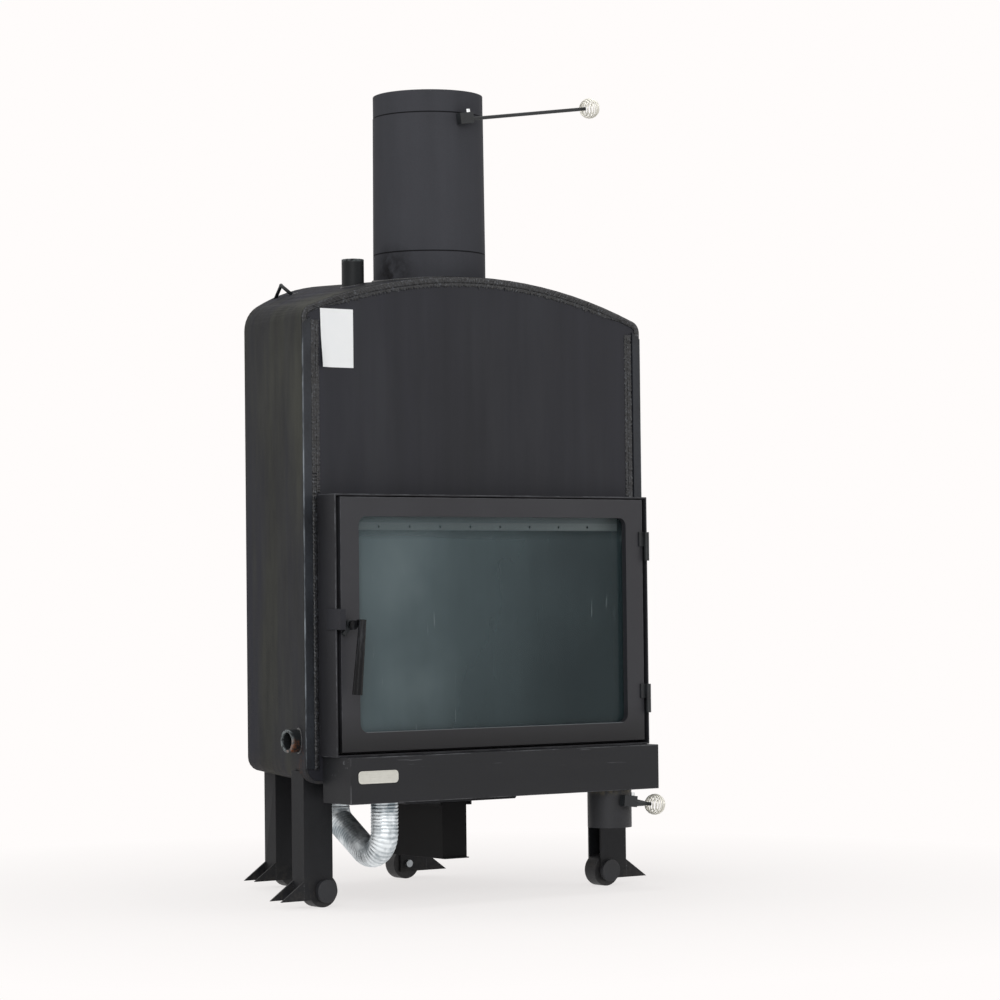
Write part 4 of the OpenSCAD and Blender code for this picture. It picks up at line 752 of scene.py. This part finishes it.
# Painted highlight: a thin bright line along the window's lower lip
lip = door_up.span(*LIP_LOW_Z) * door_up.span(*LIP_HIGH_Z)
lip = lip * door_black.axis("x").unsigned().span(*LIP_END_X)
door_black.lay(tone(128, 134, 138), lip * 0.6)
prints = door_black.noise(14, 4, 0.65, shift=3.0).span(0.55, 0.75)
door_black.feed(door_black.surface.inputs["Roughness"], door_black.rough - prints * 0.08)
wears(rounded("door_frame", 0.0009), door_black)

# Door glass
# A flat pane of heat proof glass. A film of smoke makes it hazy and grey green. It is lighter and less clear
# towards the upper left, with faint upright wipes, two pale clouds at the left and two darker ones at the
# right.
PALE_CLOUDS = [((-0.188, -0.2185, 0.5735), 0.12), ((-0.155, -0.2185, 0.389), 0.10)]
DARK_CLOUDS = [((0.168, -0.2185, 0.60), 0.10), ((0.165, -0.2185, 0.41), 0.11)]
HAZE_X, HAZE_Z, CLEAN_TOP_Z = (0.30, -0.30), (0.30, 0.70), (0.634, 0.653)
pane = Finish("smoked_glass", tone(44, 57, 60), gloss=0.2)
pane_up = pane.axis("z")
film = pane.noise(3.2, 4, 0.6, stretch=(1, 1, 0.7))
wipe = pane.noise(9, 3, 0.6, stretch=(1.6, 1, 0.16), shift=0.7)
upper_left = pane.axis("x").span(*HAZE_X) * 0.62 + pane_up.span(*HAZE_Z) * 0.22
veil = (upper_left + film * 0.34 + wipe * 0.2).span(0.42, 0.92)
pane.lay(tone(84, 98, 102), veil)
specks = pane.noise(700, 2, 0.5).span(0.72, 0.78)
scored = pane.noise(120, 3, 0.6, stretch=(1, 1, 0.06), shift=2.2).span(0.68, 0.72)
pane.lay(tone(150, 160, 162), (specks * 0.4).most(scored * 0.3))
first_pale, second_pale = [pane.spot(*cloud) for cloud in PALE_CLOUDS]
pane.lay(tone(118, 132, 135), first_pale.most(second_pale) * film.span(0.3, 0.7) * 0.95)
first_dark, second_dark = [pane.spot(*cloud) for cloud in DARK_CLOUDS]
pane.lay(tone(40, 50, 54), first_dark.most(second_dark) * 0.35)
pane.skin(0.1 + film * 0.1 + wipe * 0.06, wipe, 0.02, 0.0003)
pane.feed(pane.surface.inputs["Alpha"], 0.76 + veil * 0.14 - pane_up.span(*CLEAN_TOP_Z) * 0.47)
wears(node["door_glass"], pane)

# Air wash strip
# A heat greyed strip behind the top of the glass. Air comes through its eight holes and keeps the glass
# clean, and above its fold it is painted a little darker as the door frame's shadow.
STRIP_FOLD_Z = (0.6640, 0.6652)
strip_grey = Finish("heat_grey_steel", tone(176, 190, 192), metal=0.35, gloss=0.4)
temper, brushed = strip_grey.noise(12, 4, 0.6), strip_grey.noise(400, 3, 0.6, stretch=(0.06, 1, 1))
strip_grey.lay(tone(214, 224, 224), temper * 0.6 + brushed * 0.4)
# Painted shadow of the door frame: the strip is laid darker above its fold
strip_grey.lay(tone(160, 174, 177), strip_grey.axis("z").span(*STRIP_FOLD_Z) * 0.85)
strip_grey.skin(0.42 + brushed * 0.18, brushed, 0.2, 0.0002)
wears(node["air_wash_strip"], strip_grey)

# Seals and clips
# Plaited mineral rope lies on the casing's flange, flat woven tape lies under the glass, and plated clips
# with screws hold the pane from behind.
ROPE_W, ROPE_CORNER, ROPE_STEP, ROPE_SIDES = 0.007, 0.012, 0.0016, 14
PLAIT_L = 0.012
rope_low, rope_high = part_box("door_rope_gasket")


def round_corner_line(low, high, r, y, step):
    """A closed line at one depth round a rectangle with round corners, from its low to its high corner in
    X and Z: four quarter arcs, each with the straight run that leads from its end to the next arc."""
    hubs = np.array([(high[0] - r, low[1] + r), (high[0] - r, high[1] - r), (low[0] + r, high[1] - r),
                     (low[0] + r, low[1] + r)])
    quarter = np.linspace(0, np.pi / 2, max(6, round(r * np.pi / 2 / step)), endpoint=False)
    parts = []
    for i, hub in enumerate(hubs):
        g = quarter + (i - 1) * np.pi / 2
        arc = hub + r * np.stack([np.cos(g), np.sin(g)], -1)
        outwards = r * np.array([math.cos(i * np.pi / 2), math.sin(i * np.pi / 2)])
        run = hubs[(i + 1) % 4] - hub
        n = max(2, round(np.linalg.norm(run) / step))
        parts += [arc, hub + outwards + np.linspace(0, 1, n, endpoint=False)[:, None] * run]
    line = np.concatenate(parts)
    return np.stack([line[:, 0], np.full(len(line), y), line[:, 1]], -1)


rope_y, rope_depth = (rope_low.y + rope_high.y) / 2, rope_high.y - rope_low.y
rope_line = round_corner_line((rope_low.x + ROPE_W / 2, rope_low.z + ROPE_W / 2),
                              (rope_high.x - ROPE_W / 2, rope_high.z - ROPE_W / 2), ROPE_CORNER, rope_y,
                              ROPE_STEP)
rope_far, rope_whole = walked(rope_line, True)
rope_angle = 2 * np.pi * np.arange(ROPE_SIDES) / ROPE_SIDES
phase = 2 * np.pi * round(rope_whole / PLAIT_L) * (rope_far / rope_whole)[:, None]
plait = 0.5 + 0.25 * np.cos(2 * rope_angle + phase) + 0.25 * np.cos(2 * rope_angle - phase)
rope_r = ROPE_W / 2 * (0.86 + 0.13 * plait)
rope_rings = tube_rings(rope_line, rope_r, ROPE_SIDES, up=(0, -1, 0), closed=True)
rope_rings[..., 1] = rope_y + (rope_rings[..., 1] - rope_y) * rope_depth / ROPE_W
rope = made_piece("plaited_rope", [shell(rope_rings, looped=True)], ROOT)
fibre = Finish("mineral_rope", tone(74, 71, 66), gloss=0.15)
yarn, ash_dust = fibre.noise(1500, 3, 0.6), fibre.noise(18, 4, 0.6)
fibre.lay(tone(126, 122, 114), yarn * 0.6 + ash_dust * 0.4)
fibre.skin(0.92, yarn, 0.6, 0.0004)
wears(rope, fibre)
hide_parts("door_rope_gasket")
wears(node["glass_gasket"], fibre)
wears(rounded("glass_clips", 0.0003), plating)
wears(rounded("glass_screws", 0.0003), plating)

# Hinges, handle and latch
# Small turned knuckles with a pin, welded to the door and to the casing. The handle is a plain arm with a
# tapered bar that hangs from it; its spindle turns a tongue behind the folded keeper.
for name in ("hinge_door_knuckles", "hinge_casing_pins", "latch_tongue", "handle_spindle"):
    wears(rounded(name, 0.0005), rod_black)
grip_black = SprayedBlack("handle_black", tone(12, 12, 14), tone(20, 21, 23), cloud=20, grain=800,
                          rough=0.14, gloss=0.14, bumps=0.1)
held = grip_black.noise(60, 4, 0.7, stretch=(1, 1, 0.2)).span(0.55, 0.7)
grip_black.lay(tone(84, 87, 92), held * 0.3)
wears(rounded("handle_grip", 0.0011, segments=3), grip_black)
wears(rounded("handle_arm", 0.0003), grip_black)
wears(rounded("latch_keeper", 0.0005), front_black)

# Air tray
# A folded sheet box under the door that takes the air in. Its top edge and its front corners are
# scratched bare where logs and tools knock it, and all its edges also carry a painted highlight in patches.
SCRATCHED_Z = (0.225, 0.262)
tray_black = SprayedBlack("tray_black", tone(25, 26, 29), tone(35, 36, 39), cloud=3,
                          streak=(0.15, 1, 1), rough=0.44, bumps=0.18)
tray_edge = tray_black.box_edges(*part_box("sill_tray"), 0.0018)
knocks_and_highlight = tray_black.noise(11, 5, 0.75).span(0.42, 0.6)
# Lighter patches along the box's edges: partly knocked paint, partly a painted highlight
tray_black.lay(tone(128, 130, 134), tray_edge * knocks_and_highlight * 0.7)
scratches = tray_black.noise(150, 3, 0.6, stretch=(0.05, 1, 1), shift=4.0).span(0.64, 0.7)
tray_black.lay(tone(132, 134, 138), scratches * tray_black.axis("z").span(*SCRATCHED_Z) * 0.6)
wears(rounded("sill_tray", 0.0012), tray_black)

# Name plate
# A small pressed plate of satin metal with round corners and a raised rim, fixed to the tray's front.
# Its face is plain.
PLATE_X, PLATE_Z, PLATE_W, PLATE_H, PLATE_CORNER = -0.2782, 0.2285, 0.0816, 0.0218, 0.007
PLATE_BACK_Y, RIM_Y, RIM_BEVEL, DISH = -0.26515, -0.26665, 0.0004, 0.00034
PLATE_STEP = 0.0014
half_plate = np.array([PLATE_W / 2, PLATE_H / 2])
plate_middle = np.array([PLATE_X, PLATE_Z])
outline = round_corner_line(plate_middle - half_plate, plate_middle + half_plate, PLATE_CORNER, 0.0,
                            PLATE_STEP)
# Each ring is the outline drawn in by an inset, from the back over the rim to the dished face
plate_rings = []
for inset, ring_y in [(0.0, PLATE_BACK_Y), (0.0, RIM_Y + RIM_BEVEL), (RIM_BEVEL, RIM_Y), (0.0015, RIM_Y),
                      (0.0019, RIM_Y + 0.0003), (0.0032, RIM_Y + DISH), (0.006, RIM_Y + DISH)]:
    plate_ring = outline.copy()
    plate_ring[:, ::2] = plate_middle + (outline[:, ::2] - plate_middle) * (1 - inset / half_plate)
    plate_ring[:, 1] = ring_y
    plate_rings.append(plate_ring)
name_plate = made_piece("bare_plate", [shell(plate_rings)], ROOT, sharp=40)
satin = Finish("satin_plate", tone(186, 186, 178), metal=0.55)
lines, spots = satin.noise(900, 2, 0.5, stretch=(0.03, 1, 1)), satin.noise(140, 3, 0.6)
satin.lay(tone(226, 226, 218), lines * 0.5 + spots * 0.5)
satin.skin(0.34 + lines * 0.14, lines, 0.15, 0.0002)
wears(name_plate, satin)
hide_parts("name_plate")

# Paper label
# A sheet of white paper stuck beside the left strip above the door. Its lower left corner has come off and
# curls out, and its left edge lies in slight waves.
LABEL_LOW, LABEL_HIGH = (-0.3317, 0.9329), (-0.2635, 1.0346)
PAPER_T, GLUE_T, CURL, RIPPLE = 0.00025, 0.0001, 0.0052, 0.0004
u, v = np.meshgrid(np.linspace(0, 1, 41), np.linspace(0, 1, 61), indexing="ij")
lift = CURL * np.clip(1 - u / 0.34, 0, 1) ** 2 * np.clip(1.05 - v, 0, 1) ** 1.5
lift += RIPPLE * (0.5 + 0.5 * np.sin(9 * v + 3 * u)) * np.clip(1 - u / 0.6, 0, 1)
label_x = LABEL_LOW[0] + (LABEL_HIGH[0] - LABEL_LOW[0]) * u + lift * 0.35
label_z = LABEL_LOW[1] + (LABEL_HIGH[1] - LABEL_LOW[1]) * v
face_side = np.stack([label_x, PLATE_Y - GLUE_T - PAPER_T - lift, label_z], -1)
back_side = np.stack([label_x, PLATE_Y - GLUE_T - lift, label_z], -1)
label = made_piece("bare_label", [shell(np.concatenate([face_side, back_side[:, ::-1]], 1))], ROOT,
                   sharp=50)
paper = Finish("white_paper", tone(242, 246, 248), gloss=0.3)
pulp, stain = paper.noise(1800, 3, 0.6), paper.noise(26, 4, 0.6)
paper.lay(tone(253, 254, 255), pulp * 0.3 + stain * 0.7)
paper.skin(0.7, pulp, 0.2, 0.0001)
wears(label, paper)
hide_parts("data_label")

# Air inlet and its damper
# A short round stub under the tray takes outside air. Its damper has a clamp block, a bright screw, a
# short rod with a black cone, and a second wire knob.
INLET_HUB, INLET_REACH, INLET_TILT = (0.255, -0.26945, 0.162), 0.066, math.radians(6.3)
SCORCH_Z = (0.172, 0.182)
stub_black = SprayedBlack("stub_black", tone(34, 35, 37), tone(49, 50, 54), cloud=12, rough=0.4,
                          gloss=0.34)
scorch = stub_black.axis("z").span(*SCORCH_Z) * stub_black.noise(50, 4, 0.7).span(0.4, 0.6)
stub_black.lay(tone(112, 104, 84), scorch * 0.6)
wears(rounded("air_inlet_stub", 0.0005), stub_black)
wears(node["air_damper_disc"], mill_black)
wears(rounded("air_damper_spindle", 0.0005), rod_black)
wears(rounded("air_damper_lever", 0.0006), rod_black)
wears(rounded("air_damper_screw", 0.0004), plating)
wire_knob("inlet_wire_knob", "air_damper_knob", INLET_HUB, INLET_REACH, INLET_TILT, "air_damper")

# Hose collars
# Thin turned flanges with spigots, one under the tray and one under the body. The hose is pushed over
# the spigots, and they are of the same bright metal.
wears(node["hose_collars"], hose_foil)

# Inside the firebox
# Bare steel darkened by fire: the inner shell, the smoke baffle and four water tubes. The grate is cast iron
# with a rough skin and pale ash in its slots.
for name in ("firebox_shell", "smoke_baffle", "water_tubes"):
    wears(node[name], mill_black)
iron = Finish("cast_iron", tone(28, 28, 29), gloss=0.35)
cast, pale_ash = iron.noise(650, 4, 0.7), iron.noise(35, 4, 0.65)
iron.lay(tone(52, 51, 50), cast)
iron.lay(tone(120, 116, 110), pale_ash.span(0.55, 0.75) * 0.5)
iron.skin(0.66, cast, 0.7, 0.0008)
wears(rounded("hearth_grate", 0.0012), iron)

# Hopper, rails and ash box
# A sheet hopper under the body leads the ash into a tall narrow box that slides out to the front on two
# folded rails.
# Black paint, made darker still as painted shade under the body
belly_black_and_shade = SprayedBlack("belly_black_and_shade", tone(15, 15, 16), tone(21, 21, 22), cloud=5,
                           streak=(1, 1, 0.05), rough=0.45, gloss=0.12, bumps=0.08)
# Painted highlight along the ash box's edges
belly_black_and_shade.lay(tone(66, 67, 70), belly_black_and_shade.box_edges(*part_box("ash_box"), 0.004) * 0.7)
for name in ("ash_hopper", "ash_box_rails", "ash_box"):
    wears(rounded(name, 0.0005), belly_black_and_shade)

# Legs
# Four channels with two gussets at each foot. The paint is thin, with dull scrapes at the feet where they
# are dragged.
LEGS = {"front": (0.352, -0.14355), "rear": (0.1685, 0.24105)}
LEG_DEPTH, GUSSET_INSET, SCRAPED_Z = 0.039, 0.002, (0.06, 0.014)
GUSSET_WELD_Z, GUSSET_WELD_STEPS, GUSSET_WELD_OUT = (0.016, 0.045), 60, 0.0004
leg_black = SprayedBlack("leg_black", tone(24, 25, 27), tone(35, 36, 39), cloud=6, streak=(1, 1, 0.1),
                         rough=0.46, gloss=0.22, bumps=0.3)
scrapes = leg_black.axis("z").span(*SCRAPED_Z) * leg_black.noise(80, 5, 0.75).span(0.45, 0.62)
leg_black.lay(tone(84, 80, 74), scrapes * 0.25)
weld_z = np.linspace(*GUSSET_WELD_Z, GUSSET_WELD_STEPS)
foot_welds = []
for place, (leg_x, leg_y) in LEGS.items():
    for side, word in ((-1, "left"), (1, "right")):
        wears(rounded(f"{place}_leg_{word}", 0.0009), leg_black)
        for gusset_y in (leg_y + GUSSET_INSET, leg_y + LEG_DEPTH - GUSSET_INSET):
            line = np.stack(np.broadcast_arrays(side * (leg_x + GUSSET_WELD_OUT), gusset_y, weld_z), -1)
            foot_welds.append(weld_bead(line, radius=0.0022, up=(0, 1, 0), closed=False,
                                        seed=int(50 + gusset_y * 100 + side)))
gusset_welds = wears(made_piece("gusset_welds", foot_welds, ROOT), weld_black)

# Rollers and axles
# Turned steel rollers between the cheeks of the legs. They run on pins in front, whose large caps show,
# and on bright bolts with nuts at the rear.
roller_black = SprayedBlack("roller_black", tone(28, 28, 30), tone(46, 46, 48), cloud=25, grain=800,
                            rough=0.4, gloss=0.36, bumps=0.4)
tread = roller_black.noise(90, 5, 0.7, stretch=(1, 0.1, 1)).span(0.48, 0.62)
roller_black.lay(tone(84, 80, 76), tread * 0.2)
for place in ("front", "rear"):
    for word in ("left", "right"):
        wears(rounded(f"{place}_roller_{word}", 0.0012), roller_black)
wears(rounded("front_axle_pins", 0.0012, segments=3), stub_black)
zinc = Finish("dull_zinc", tone(124, 130, 134), metal=1.0)
spangle = zinc.noise(160, 3, 0.6)
zinc.lay(tone(190, 195, 198), spangle)
zinc.skin(0.3 + spangle * 0.2, spangle, 0.2, 0.0002)
wears(rounded("rear_axle_bolts", 0.0006), zinc)
wears(rounded("rear_axle_nuts", 0.0005), zinc)
